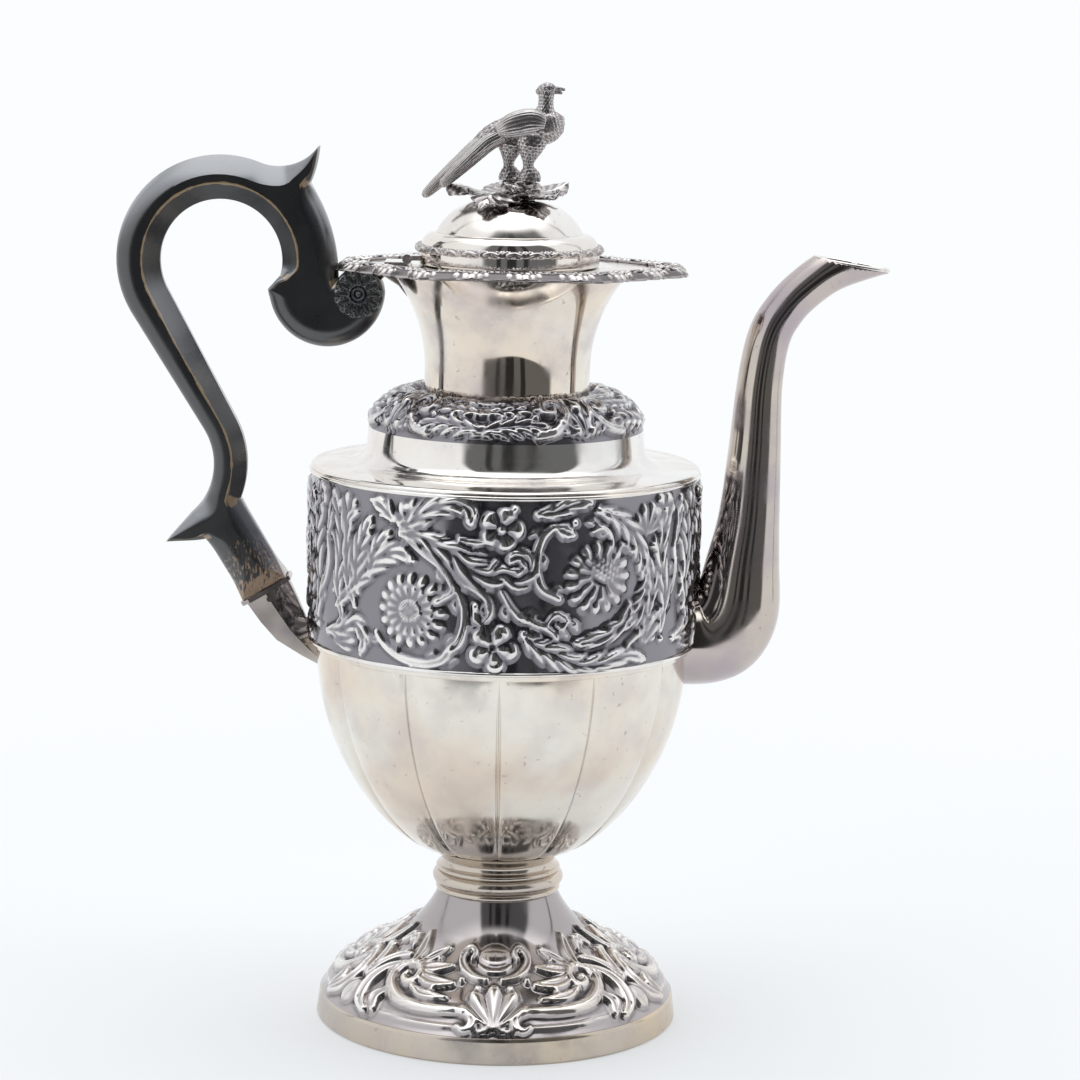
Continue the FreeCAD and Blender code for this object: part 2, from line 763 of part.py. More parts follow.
def make_lid():
    wall = size("wall")
    radius = size("lid_radius")
    turned("lid_wall", [(radius, lid_bottom), (radius, strip_bottom), (radius - wall, strip_bottom),
                        (radius - wall, lid_bottom)])
    turned("lid_strip", [(radius, strip_bottom), (radius, cushion_bottom), (radius - wall, cushion_bottom),
                         (radius - wall, strip_bottom)], {0: size("strip_swell")})
    dome = size("dome_radius")
    turned("lid_cushion", [(radius - wall, cushion_bottom), (radius, cushion_bottom), (dome, dome_bottom),
                           (dome - wall, dome_bottom), (dome - wall, dome_bottom - wall)],
           {1: size("cushion_swell")})
    turned("lid_dome", [(dome, dome_bottom), (size("dome_flat_radius"), dome_top),
                        (size("stud_radius"), dome_top), (size("stud_radius"), dome_top - wall),
                        (size("dome_flat_radius"), dome_top - wall),
                        (dome - wall, dome_bottom)],
           {0: size("dome_swell"), 4: -size("dome_swell")})
    bezel = size("mouth_radius") - size("bezel_clearance")
    thin = size("bezel_wall")
    turned("lid_bezel", [(bezel, lid_bottom - size("bezel_depth")), (bezel, lid_bottom),
                         (radius - wall, lid_bottom), (radius - wall, lid_bottom + thin),
                         (bezel - thin, lid_bottom + thin),
                         (bezel - thin, lid_bottom - size("bezel_depth"))])


def knuckle(body, name, middle, length, bore):
    # A barrel along Y round the hinge line, with its bore.
    place = [(hinge_x, hinge_z, size("knuckle_radius"))]
    barrel = circles(body, name, place, "XZ_Plane")
    barrel.AttachmentOffset = Placement(Vector(0, 0, -middle.value), Rotation())
    barrel.setExpression("AttachmentOffset.Base.z", (-middle).formula)
    pad(body, barrel, length, symmetric=True)
    return [(hinge_x, hinge_z, bore)]


def make_hinge():
    half_lid = size("lid_knuckle_length") / 2
    gap = size("seat_gap")
    middle = half_lid + gap + size("knuckle_length") / 2
    reach = half_lid + gap + size("knuckle_length")
    leaf = new_body("hinge_leaf")
    back = hinge_x - size("leaf_length")
    notch = hinge_x - size("knuckle_radius") - gap
    inner = half_lid + gap
    pad(leaf, outline(leaf, "leaf", [(back, -reach), (hinge_x, -reach), (hinge_x, -inner), (notch, -inner),
                                     (notch, inner), (hinge_x, inner), (hinge_x, reach), (back, reach)],
                      None, "XY_Plane", (0, flange_top, 0)), size("leaf_thickness"))
    knuckle(leaf, "near_knuckle", -middle, size("knuckle_length"), size("hinge_pin_radius"))
    bore = knuckle(leaf, "far_knuckle", middle, size("knuckle_length"), size("hinge_pin_radius"))
    pocket(leaf, circles(leaf, "leaf_bore", bore, "XZ_Plane"), reach * 3, symmetric=True)
    lid_side = new_body("lid_knuckle")
    tongue_top = hinge_z + size("leaf_thickness")
    tongue_bottom = hinge_z - size("leaf_thickness")
    tongue_end = -size("lid_radius") + gap * 3
    tongue = outline(lid_side, "tongue", [(hinge_x, tongue_bottom), (tongue_end, tongue_bottom),
                                          (tongue_end, tongue_top), (hinge_x, tongue_top)])
    pad(lid_side, tongue, size("lid_knuckle_length"), symmetric=True)
    bore = knuckle(lid_side, "lid_barrel", as_size(0), size("lid_knuckle_length"),
                   size("hinge_pin_radius") + size("running_clearance"))
    pocket(lid_side, circles(lid_side, "lid_bore", bore, "XZ_Plane"), reach * 3, symmetric=True)
    low, high = lid_bottom - gap, strip_bottom + gap
    corners = [(0, low), (size("lid_radius"), low), (size("lid_radius"), high), (0, high)]
    revolve(lid_side, outline(lid_side, "lid_face", corners), "PartDesign::Groove")
    pin = new_body("hinge_pin")
    pad(pin, circles(pin, "pin", [(hinge_x, hinge_z, size("hinge_pin_radius"))], "XZ_Plane"), reach * 2,
        symmetric=True)


def leaf_outline(body, name, place):
    # A vine leaf with three tips on each side and one at the end.
    reach = size("leaf_reach")
    half = size("leaf_half_width")
    hub = size("leaf_hub_radius") * 0.85
    side = [(hub, half * 0.2), (reach * 0.42, half * 0.85), (reach * 0.5, half * 0.55), (reach * 0.72, half),
            (reach * 0.76, half * 0.5), (reach, half * 0.08)]
    corners = [(x, -y) for x, y in side] + side[::-1]
    stand = half * 0.1
    bulges = {0: stand, 2: stand, 4: stand, 6: stand, 8: stand, 10: stand}
    return outline(body, name, corners, bulges, "XY_Plane", place)


def make_finial():
    hole = size("stud_radius")
    plate = size("leaf_plate_thickness")
    leaves = new_body("finial_leaves")
    disc = circles(leaves, "hub", [(0, 0, size("leaf_hub_radius"))], "XY_Plane", (0, dome_top, 0))
    pad(leaves, disc, plate)
    leaf = pad(leaves, leaf_outline(leaves, "leaf", (0, dome_top, -size("leaf_tilt"))), plate)
    around = leaves.newObject("PartDesign::PolarPattern", "leaves_around")
    around.Originals = [leaf]
    around.Axis = ([item for item in leaves.Origin.OriginFeatures if item.Role == "Z_Axis"][0], [""])
    around.Angle = 360
    around.Occurrences = leaf_count
    leaves.Tip = around
    pocket(leaves, circles(leaves, "stud_hole", [(0, 0, hole)], "XY_Plane", (0, rock_bottom, 0)), plate * 2)
    rock = new_body("finial_rock")
    crown_x = size("bird_chest_along") * 0.45
    hub = size("leaf_hub_radius")
    base = circles(rock, "rock_foot", [(0, 0, hub * 0.6)], "XY_Plane", (0, rock_bottom, 0))
    waist = circles(rock, "rock_waist", [(crown_x * 0.8, 0, size("leaf_hub_radius") * 0.6)], "XY_Plane",
                    (0, rock_bottom + size("rock_height") * 0.5, 0))
    crown = circles(rock, "rock_crown", [(crown_x, 0, hub * 1.1)], "XY_Plane", (0, rock_top, 0))
    loft(rock, "rock", [base, waist, crown])
    pocket(rock, circles(rock, "stud_hole", [(0, 0, hole)], "XY_Plane", (0, rock_bottom, 0)),
           size("rock_height") * 0.6, reverse=True)
    make_bird()
    stud_top = rock_bottom + size("rock_height") * 0.6
    stud = new_body("finial_stud")
    shank = circles(stud, "stud", [(0, 0, hole)], "XY_Plane", (0, stud_top, 0))
    pad(stud, shank, size("stud_length"), reverse=True)
    under_dome = dome_top - size("wall")
    washer = new_body("finial_washer")
    pad(washer, circles(washer, "washer", [(0, 0, size("washer_radius")), (0, 0, hole)], "XY_Plane",
                        (0, under_dome, 0)), size("washer_thickness"), reverse=True)
    nut = new_body("finial_nut")
    corners = [polar((as_size(0), as_size(0)), size("nut_radius"), 60 * index) for index in range(6)]
    nut_top = under_dome - size("washer_thickness")
    hexagon = outline(nut, "hexagon", corners, None, "XY_Plane", (0, nut_top, 0))
    pad(nut, hexagon, size("nut_height"), reverse=True)
    pocket(nut, circles(nut, "nut_hole", [(0, 0, hole)], "XY_Plane", (0, nut_top, 0)), size("nut_height"))


def station_sections(body, prefix, stations, origin, thinner=0, flatness=0):
    # One section for each station, turned about Y by its lean: round, or a flat almond for feathers.
    sections = []
    for station in stations:
        across = origin[0] + size(f"{prefix}_{station}_along")
        rise = origin[1] + size(f"{prefix}_{station}_rise")
        radius = size(f"{prefix}_{station}_radius") - thinner
        place = (across, rise, size(f"{prefix}_{station}_lean"))
        label = f"{body.Name}_{station}_{len(body.Group)}"
        if flatness:
            almond = {0: radius * flatness, 1: radius * flatness}
            sections.append(outline(body, label, [(0, -radius), (0, radius)], almond, "XY_Plane", place))
        else:
            sections.append(circles(body, label, [(0, 0, radius)], "XY_Plane", place))
    return sections


def make_bird():
    body = new_body("pheasant")
    origin = (as_size(0), rock_top)
    for name, stations, flatness in (("trunk", bird_stations, 0), ("neck_and_head", neck_stations, 0),
                                     ("tail", tail_stations, 0.75), ("beak", beak_stations, 0.8)):
        loft(body, name, station_sections(body, "bird", stations, origin, flatness=flatness))
    leg = size("leg_height")
    for name, ahead, side in (("far_leg", -1.2, 1), ("near_leg", 5.2, -1)):
        thigh = size("bird_back_radius") * 0.62
        offset = size("bird_back_radius") * 0.42 * side
        forward = size("bird_chest_along") * (ahead / 7.4)
        sections = []
        for index, (share, thick) in enumerate(((0.0, 0.62), (0.35, 0.5), (1.0, 1.0))):
            place = (0, rock_top + leg * share, 0)
            spot = (forward + leg * (share * 0.1), offset, thigh * thick)
            sections.append(circles(body, f"{name}_{index}", [spot], "XY_Plane", place))
        loft(body, name, sections)


def make_spout():
    origin = (size("band_radius"), band_bottom)
    lip_start = (origin[0] + size("lip_start_out"), origin[1] + size("lip_start_rise"))
    lip_end = (origin[0] + size("lip_end_out"), origin[1] + size("lip_end_rise"))
    slope = direction(lip_end[0] - lip_start[0], lip_end[1] - lip_start[1])
    reach = size("lip_end_out")
    for name, swell in (("spout", as_size(0)), ("spout_lip_wire", size("lip_swell"))):
        body = new_body(name)
        loft(body, name + "_tube", station_sections(body, "spout", spout_stations, origin, -swell))
        drop = as_size(0) if swell.value else size("lip_height")
        ahead = polar(lip_end, reach, slope)
        behind = polar(lip_start, reach, slope + 180)
        mouth = [lip_start, lip_end, ahead, polar(ahead, reach, 90), polar(behind, reach, 90), behind]
        cut = outline(body, name + "_mouth", [(x, y - drop) for x, y in mouth])
        pocket(body, cut, reach * 2, symmetric=True)
        if swell.value:
            left = polar(lip_start, reach, slope + 180)
            right = polar(lip_end, reach, slope)
            low = band_bottom - size("spout_root_radius") * 2
            below = [(left[0] - reach, left[1] - size("lip_height")), (left[0] - reach, low),
                     (right[0], low), (right[0], right[1] - size("lip_height")),
                     (left[0], left[1] - size("lip_height"))]
            pocket(body, outline(body, "below_lip", below), reach * 2, symmetric=True)
        else:
            trim_to_pot(body)
        sections = station_sections(body, "spout", spout_stations, origin, size("spout_wall"))
        loft(body, name + "_bore", sections,
             "PartDesign::SubtractiveLoft")


def trim_to_pot(body):
    # Fits a piece to the drum, its lower wire and the bowl.
    wire = size("band_radius") + size("wire_swell")
    wire_top = band_bottom + size("wire_height")
    low_shares = (0.55, 0.78, 1.0)
    corners = [(0, bowl_level(low_shares[0]))]
    corners += [(bowl_radius(share), bowl_level(share)) for share in low_shares]
    corners += [(wire, band_bottom), (wire, wire_top), (size("band_radius"), wire_top),
                (size("band_radius"), band_top), (0, band_top)]
    revolve(body, outline(body, "pot_side", corners), "PartDesign::Groove")


def volute_centre():
    return -(size("neck_top_radius") + size("volute_back")), flange_bottom - size("volute_drop")


def socket_place():
    return -(size("band_radius") + size("socket_out")), band_bottom + size("socket_rise"), size("socket_tilt")


def socket_pin_centre():
    across, rise, tilt = socket_place()
    return across + size("socket_pin_depth") * sine(tilt), rise + size("socket_pin_depth") * cosine(tilt)


def handle_outline(body):
    # The scroll, sawn from a board: two bows joined by straight tangents, a thumb spur, thorns and a volute.
    loop = (-(size("band_radius") + size("loop_out")), flange_top - size("loop_drop"))
    bow = (-(size("band_radius") + size("bow_out")), band_bottom + size("bow_rise"))
    across, up = bow[0] - loop[0], bow[1] - loop[1]
    heading = direction(across, up)
    apart = length_of(across, up)
    outer, inner = size("loop_outer_radius"), size("loop_inner_radius")
    hollow = size("bow_hollow_radius")
    back = hollow + size("bow_width")
    outer_turn = arc_cosine((outer + hollow) / apart)
    inner_turn = arc_cosine((inner + back) / apart)
    volute = volute_centre()
    curl = size("volute_radius")
    neck_side = -size("neck_top_radius")
    drum_side = -size("band_radius")
    rim = socket_place()
    limb = size("limb_width") / 2
    points = [
        (neck_side - size("thumb_back"), flange_top + size("thumb_rise")),
        polar(loop, outer, size("thumb_angle")),
        polar(loop, outer, heading - outer_turn + 360),
        polar(bow, hollow, heading + 180 - outer_turn),
        polar(bow, hollow, -size("bow_end_angle")),
        (drum_side - size("lower_spur_out"), band_bottom + size("lower_spur_rise")),
        (drum_side - size("spur_heel_out"), band_bottom + size("spur_heel_rise")),
        polar(rim, limb, -size("socket_tilt")),
        polar(rim, limb, 180 - size("socket_tilt")),
        polar(bow, back, -size("limb_angle")),
        polar(bow, back, heading + 180 - inner_turn),
        polar(loop, inner, heading - inner_turn),
        polar(loop, inner, -size("loop_end_angle")),
        (loop[0] + size("thorn_out"), loop[1] - size("thorn_drop")),
        polar(volute, curl, -size("volute_start_angle")),
        polar(volute, curl, size("volute_end_angle")),
        (neck_side - size("thumb_root_back"), flange_top + size("thumb_root_rise")),
    ]
    loop_half = (heading - outer_turn + 360 - size("thumb_angle")) / 2
    bow_half = (heading + 180 - outer_turn + size("bow_end_angle")) / 2
    back_half = (heading + 180 - inner_turn + size("limb_angle")) / 2
    inner_half = (heading - inner_turn + 360 + size("loop_end_angle")) / 2
    volute_half = (size("volute_start_angle") + size("volute_end_angle")) / 2
    bulges = {
        0: -size("thumb_sweep"),
        1: outer * (1 - cosine(loop_half)),
        3: -(hollow * (1 - cosine(bow_half))),
        9: back * (1 - cosine(back_half)),
        11: -(inner * (1 - cosine(inner_half))),
        13: size("volute_bow"),
        14: curl * (1 - cosine(volute_half)),
        15: size("shoulder_bow"),
        16: -size("thumb_hollow"),
    }
    return outline(body, "scroll", points, bulges)


def board_edges(feature, scroll, ways):
    # The names of the edges of both faces that run along the outline's numbered ways.
    half = size("handle_thickness").value / 2
    lines = [scroll.Geometry[way].toShape() for way in ways]
    names = []
    for number, edge in enumerate(feature.Shape.Edges, start=1):
        middle = edge.valueAt((edge.FirstParameter + edge.LastParameter) / 2)
        spot = Part.Vertex(Vector(middle.x, middle.z, 0))
        along = min(line.distToShape(spot)[0] for line in lines)
        if abs(abs(edge.CenterOfMass.y) - half) < 1e-4 and along < 1e-3:
            names.append(f"Edge{number}")
    return names


def chamfer(body, feature, scroll, ways, width):
    cut = body.newObject("PartDesign::Chamfer", f"{feature.Name}_{ways[0]}")
    cut.Base = (feature, board_edges(feature, scroll, ways))
    cut.Size = width.value
    cut.setExpression("Size", width.formula)


def rectangle(half_long, half_deep):
    return [(half_long, half_deep), (-half_long, half_deep), (-half_long, -half_deep),
            (half_long, -half_deep)]


def eight_sided(half_long, half_deep, corner):
    quarter = [(half_long, half_deep - corner), (half_long - corner, half_deep)]
    corners = quarter + [(-x, y) for x, y in quarter[::-1]]
    return corners + [(-x, -y) for x, y in quarter] + [(x, -y) for x, y in quarter[::-1]]


def make_handle():
    body = new_body("handle")
    scroll = handle_outline(body)
    board = pad(body, scroll, size("handle_thickness"), symmetric=True)
    doc.recompute()
    chamfer(body, board, scroll, (9, 10, 11), size("inner_chamfer"))
    volute = volute_centre()
    half = size("tongue_height") / 2 + size("tongue_clearance")
    slot_end = volute[0] - size("tongue_past_pin") - size("tongue_clearance")
    slot_open = volute[0] + size("volute_radius") * 2
    slot = [(slot_end, volute[1] - half), (slot_open, volute[1] - half), (slot_open, volute[1] + half),
            (slot_end, volute[1] + half)]
    pocket(body, outline(body, "tongue_slot", slot), size("tongue_thickness") + size("tongue_clearance") * 2,
           symmetric=True)
    pocket(body, circles(body, "upper_pin_hole", [volute + (size("upper_pin_radius"),)], "XZ_Plane"),
           size("handle_thickness") * 2, symmetric=True)
    tenon = rectangle(size("tenon_width") / 2, size("tenon_depth") / 2)
    pad(body, outline(body, "tenon", tenon, None, "XY_Plane", socket_place()), size("tenon_length"))
    pin = [socket_pin_centre() + (size("socket_pin_radius"),)]
    hole = circles(body, "lower_pin_hole", pin, "XZ_Plane")
    pocket(body, hole, size("handle_thickness") * 2, symmetric=True)


def make_upper_fixing():
    volute = volute_centre()
    body = new_body("upper_handle_mount")
    top = size("neck_top_radius")
    root = size("neck_radius") + (top - size("neck_radius")) * size("wing_root")
    low = flange_bottom - size("wing_height")
    thick = size("wing_thickness")
    inside = -size("neck_radius")
    wing = outline(body, "wing", [(-root - thick, low), (inside, low), (inside, flange_bottom),
                                  (-top - thick, flange_bottom)])
    saddle = revolve(body, wing, angle=size("wing_angle"))
    saddle.Midplane = True
    half = size("tongue_height") / 2
    tip = volute[0] - size("tongue_past_pin")
    tongue = outline(body, "tongue", [(tip, volute[1] - half), (-size("neck_radius"), volute[1] - half),
                                      (-size("neck_radius"), volute[1] + half), (tip, volute[1] + half)])
    pad(body, tongue, size("tongue_thickness"), symmetric=True)
    straight_top = neck_bottom + size("neck_straight")
    revolve(body, outline(body, "neck_side", [(0, straight_top), (size("neck_radius"), straight_top),
                                              (top, flange_bottom), (0, flange_bottom)],
                          {1: -size("neck_flare")}), "PartDesign::Groove")
    pin = [volute + (size("upper_pin_radius"),)]
    pocket(body, circles(body, "tongue_hole", pin, "XZ_Plane"), size("handle_thickness"), symmetric=True)
    pin_body = new_body("upper_handle_pin")
    pad(pin_body, circles(pin_body, "pin", pin, "XZ_Plane"), size("handle_thickness"), symmetric=True)
    make_rosettes(volute)


def make_rosettes(volute):
    front = new_body("front_rosette")
    centre = circles(front, "disc", [volute + (size("rosette_radius"),)], "XZ_Plane")
    petal_radius = size("petal_circle") * (0.93 * math.sin(math.pi / petal_count))
    petals = []
    for index in range(petal_count):
        petals.append(polar(volute, size("petal_circle"), 360 * index / petal_count) + (petal_radius,))
    face = size("handle_thickness") / 2
    steps = [(centre, face, size("rosette_thickness")),
             (circles(front, "petals", petals, "XZ_Plane"), face + size("rosette_thickness"),
              size("petal_height")),
             (circles(front, "boss", [volute + (size("boss_radius"),)], "XZ_Plane"),
              face + size("rosette_thickness"), size("boss_height"))]
    for sketch, level, height in steps:
        sketch.AttachmentOffset = Placement(Vector(0, 0, level.value), Rotation())
        sketch.setExpression("AttachmentOffset.Base.z", level.formula)
        pad(front, sketch, height)
    back = doc.addObject("Part::Mirroring", "back_rosette")
    back.Source = front
    back.Normal = Vector(0, 1, 0)
    pair = doc.addObject("Part::Compound", "handle_rosettes")
    pair.Links = [front, back]
    pair.Label = "handle_rosettes"


def socket_sections(body, rim_sides):
    # Three eight-sided sections from the rim round the limb down to the foot on the bowl.
    corner = size("socket_corner")
    middle = (-(size("band_radius") + size("socket_middle_out")), band_bottom + size("socket_middle_rise"),
              size("socket_middle_tilt"))
    end = (-(size("band_radius") - size("socket_end_inset")), band_bottom - size("socket_end_drop"),
           size("socket_end_tilt"))
    sections = []
    for name, place, sides in (("rim", socket_place(), rim_sides),
                               ("middle", middle, (size("socket_middle_half"),
                                                   size("socket_middle_half_depth"), corner * 0.75)),
                               ("end", end, (size("socket_end_half"), size("socket_end_half_depth"),
                                             corner * 0.6))):
        sections.append(outline(body, f"{body.Name}_at_{name}", eight_sided(*sides), None, "XY_Plane", place))
    return sections


def make_lower_fixing():
    rim = socket_place()
    corner = size("socket_corner")
    rim_sides = (size("limb_width") / 2 + size("socket_lip"), size("socket_half_depth"), corner)
    body = new_body("lower_socket")
    loft(body, "socket", socket_sections(body, rim_sides))
    fit = size("tongue_clearance")
    cavity = rectangle(size("tenon_width") / 2 + fit, size("tenon_depth") / 2 + fit)
    hollow = outline(body, "cavity", cavity, None, "XY_Plane", rim)
    pocket(body, hollow, size("tenon_length") + fit, reverse=True)
    pin = [socket_pin_centre() + (size("socket_pin_radius"),)]
    pocket(body, circles(body, "pin_hole", pin, "XZ_Plane"), size("handle_thickness") * 2, symmetric=True)
    trim_to_pot(body)
    ring = new_body("lower_socket_rim")
    swell = size("socket_rim_swell")
    grown = (rim_sides[0] + swell, rim_sides[1] + swell, corner + swell * 0.6)
    rim_face = outline(ring, "rim_outer", eight_sided(*grown), None, "XY_Plane", rim)
    pad(ring, rim_face, size("socket_rim_height"))
    loft(ring, "seat", socket_sections(ring, rim_sides), "PartDesign::SubtractiveLoft")
    pin_body = new_body("lower_socket_pin")
    pad(pin_body, circles(pin_body, "pin", pin, "XZ_Plane"), size("socket_half_depth") * 2, symmetric=True)


make_foot()
make_bowl()
make_drum()
make_shoulder()
make_flange()
make_lid()
make_hinge()
make_finial()
make_spout()
make_handle()
make_upper_fixing()
make_lower_fixing()
doc.recompute()

for item in doc.Objects:
    if "Invalid" in item.State or "Error" in item.State:
        raise RuntimeError(f"{item.Label} failed: {item.State}")
parts = [item for item in doc.Objects
         if item.isDerivedFrom("PartDesign::Body") and item.Label != "front_rosette"]
parts.append(doc.getObject("handle_rosettes"))
for part in parts:
    if part.Shape.isNull() or not part.Shape.isValid():
        raise RuntimeError(f"{part.Label} has no valid shape")
os.makedirs("parts", exist_ok=True)
for part in parts:
    part.Shape.exportStep(f"parts/{part.Label}.step")
    print(part.Label, len(part.Shape.Solids), round(part.Shape.Volume, 2))
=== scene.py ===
import math
import bmesh
import bpy
import numpy as np
from mathutils import Matrix, Vector, noise


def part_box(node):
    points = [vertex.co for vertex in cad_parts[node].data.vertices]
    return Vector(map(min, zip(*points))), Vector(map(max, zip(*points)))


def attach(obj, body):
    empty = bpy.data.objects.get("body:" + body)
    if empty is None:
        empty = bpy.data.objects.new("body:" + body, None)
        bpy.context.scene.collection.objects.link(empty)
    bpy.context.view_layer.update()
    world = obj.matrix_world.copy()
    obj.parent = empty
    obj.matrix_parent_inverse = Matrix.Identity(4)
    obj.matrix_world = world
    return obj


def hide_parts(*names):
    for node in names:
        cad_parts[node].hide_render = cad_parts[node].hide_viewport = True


# A chased silver coffee pot with a wooden scroll handle. Sizes below are millimetres.

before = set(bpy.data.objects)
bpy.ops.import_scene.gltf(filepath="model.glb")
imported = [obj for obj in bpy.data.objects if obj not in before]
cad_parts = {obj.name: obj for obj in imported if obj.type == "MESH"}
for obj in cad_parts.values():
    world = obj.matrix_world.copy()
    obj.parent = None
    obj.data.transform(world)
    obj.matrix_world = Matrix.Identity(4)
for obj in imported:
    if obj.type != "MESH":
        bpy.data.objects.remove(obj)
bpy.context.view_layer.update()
mm = 0.001
weldGap = 0.004 * mm
scene = bpy.context.scene


def nodeBox(node):
    low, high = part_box(node)
    return low / mm, high / mm


# Curves and outlines

def bulgePoint(start, end, bulge, share):
    # A point on the arc from start to end that stands bulge to the right of the chord.
    chord = end - start
    if not bulge:
        return start + chord * share
    turn = 4 * math.atan(2 * bulge / chord.length)
    radius = chord.length / (2 * math.sin(turn / 2))
    heading = math.atan2(chord.y, chord.x) - turn / 2 + share * turn / 2
    return start + Vector((math.cos(heading), math.sin(heading))) * (2 * radius * math.sin(share * turn / 2))


def profilePath(corners, spacing):
    # Corners are (across, up) or (across, up, bulge), the bulge being that of the stretch to the corner.
    path = [Vector(corners[0][:2])]
    for corner in corners[1:]:
        start, end = path[-1], Vector(corner[:2])
        bulge = corner[2] if len(corner) > 2 else 0
        count = max(1, round((end - start).length / spacing))
        path += [bulgePoint(start, end, bulge, index / count) for index in range(1, count + 1)]
    return path


def smoothCurve(controls, count=8):
    # A curve through every control point.
    points = np.array(controls, float)
    padded = np.vstack([2 * points[0] - points[1], points, 2 * points[-1] - points[-2]])
    share = np.linspace(0, 1, count, endpoint=False)[:, None]
    runs = []
    for a, b, c, d in zip(padded, padded[1:], padded[2:], padded[3:]):
        runs.append(0.5 * (2 * b + (c - a) * share + (2 * a - 5 * b + 4 * c - d) * share ** 2
                           + (3 * b - a - 3 * c + d) * share ** 3))
    return np.vstack(runs + [points[-1:]])


# Meshes and pieces

def layerOf(bm, name):
    return bm.verts.layers.float.get(name) or bm.verts.layers.float.new(name)


def spinOutline(outer, back, steps):
    # A closed section, spun about Z. The outer path keeps its running length in the layer "along".
    bm = bmesh.new()
    along = layerOf(bm, "along")
    verts = []
    length = 0.0
    for index, point in enumerate(outer):
        if index:
            length += (point - outer[index - 1]).length
        vert = bm.verts.new((point.x * mm, 0, point.y * mm))
        vert[along] = length
        verts.append(vert)
    for point in back:
        vert = bm.verts.new((point.x * mm, 0, point.y * mm))
        vert[along] = -1
        verts.append(vert)
    edges = [bm.edges.new(pair) for pair in zip(verts, verts[1:])]
    if back:
        edges.append(bm.edges.new((verts[-1], verts[0])))
    spinRound(bm, verts + edges, steps)
    return bm


def spinRound(bm, section, steps, sectors=10):
    # Spins one sector and repeats it, which is quicker than one long spin.
    sector = math.tau / sectors
    bmesh.ops.spin(bm, geom=section, cent=(0, 0, 0), axis=(0, 0, 1), dvec=(0, 0, 0), angle=sector,
                   steps=steps // sectors, use_merge=False, use_duplicate=False)
    first = bm.verts[:] + bm.edges[:] + bm.faces[:]
    for index in range(1, sectors):
        copied = bmesh.ops.duplicate(bm, geom=first)["geom"]
        moved = [item for item in copied if isinstance(item, bmesh.types.BMVert)]
        bmesh.ops.rotate(bm, verts=moved, cent=(0, 0, 0), matrix=Matrix.Rotation(sector * index, 3, "Z"))
    bmesh.ops.remove_doubles(bm, verts=bm.verts, dist=weldGap)


def headingsOf(curve):
    # The direction at each point of a route in the XZ plane.
    return [Vector(step).normalized() for step in np.gradient(curve[:, :2], axis=0)]


def sectionPlace(x, z, heading, over, aside):
    # A point of a section that stands square to such a route.
    return (x - heading.y * over) * mm, aside * mm, (z + heading.x * over) * mm


def skinRings(bm, rings):
    # Joins closed rings of vertices one after another.
    loops = []
    for ring in rings:
        loops.append([bm.edges.new(pair) for pair in zip(ring, ring[1:] + ring[:1])])
    for first, second in zip(loops, loops[1:]):
        bmesh.ops.bridge_loops(bm, edges=first + second)
    return loops


def softenEdges(bm, width, angle=35):
    # Rounds every sharp edge a little, so that it catches the light.
    sharp = [edge for edge in bm.edges if edge.calc_face_angle(0.0) > math.radians(angle)]
    bmesh.ops.bevel(bm, geom=sharp, offset=width * mm, segments=2, profile=0.5, affect="EDGES",
                    material=-1, clamp_overlap=True)


def meshOf(bm, name, sharpAngle=40):
    bmesh.ops.remove_doubles(bm, verts=bm.verts, dist=weldGap)
    bmesh.ops.recalc_face_normals(bm, faces=bm.faces)
    for face in bm.faces:
        face.smooth = True
    for edge in bm.edges:
        edge.smooth = edge.calc_face_angle(0.0) < math.radians(sharpAngle)
    mesh = bpy.data.meshes.new(name)
    bm.to_mesh(mesh)
    bm.free()
    return mesh


def thicken(piece, thickness):
    shell = piece.modifiers.new("wall", "SOLIDIFY")
    shell.thickness = thickness * mm
    shell.offset = -1


def addPiece(name, mesh, material, nodes=(), body="pot"):
    piece = bpy.data.objects.new(name, mesh)
    scene.collection.objects.link(piece)
    mesh.materials.append(material)
    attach(piece, body)
    if nodes:
        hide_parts(*nodes)
    return piece


def addSpun(name, outer, back, steps, sharpAngle, material, node, body="pot"):
    addPiece(name, meshOf(spinOutline(outer, back, steps), name, sharpAngle), material, [node], body)


def places(mesh):
    spots = np.empty(len(mesh.vertices) * 3)
    mesh.vertices.foreach_get("co", spots)
    return spots.reshape(-1, 3) / mm


def readLayer(mesh, name):
    values = np.empty(len(mesh.vertices))
    mesh.attributes[name].data.foreach_get("value", values)
    return values


def writeLayer(mesh, name, values):
    layer = mesh.attributes.get(name) or mesh.attributes.new(name, "FLOAT", "POINT")
    layer.data.foreach_set("value", np.ascontiguousarray(values, dtype=np.float32))


def movePlaces(mesh, spots):
    mesh.vertices.foreach_set("co", np.ascontiguousarray(spots * mm, dtype=np.float32).ravel())
    mesh.update()


# Chased ornament: a sheet is a surface laid flat, with a height at each vertex

def newSheet(across, up, pitch, mirrored=False):
    return {"across": across, "up": up, "pitch": pitch, "mirrored": mirrored, "height": np.zeros_like(up)}


def pickNear(sheet, left, right, low, high):
    # The vertices inside a motif's box, with every repeat folded onto the first one.
    pitch = sheet["pitch"]
    if sheet["mirrored"]:
        x = np.abs((sheet["across"] + pitch / 2) % pitch - pitch / 2)
    else:
        x = (sheet["across"] - left) % pitch + left
    picked = np.flatnonzero((x >= left) & (x <= right) & (sheet["up"] >= low) & (sheet["up"] <= high))
    return picked, x[picked], sheet["up"][picked]


def pickRound(sheet, centre, reach):
    return pickNear(sheet, centre[0] - reach, centre[0] + reach, centre[1] - reach, centre[1] + reach)


def pickCurve(sheet, curve, reach):
    low, high = curve.min(axis=0) - reach, curve.max(axis=0) + reach
    return pickNear(sheet, low[0], high[0], low[1], high[1])


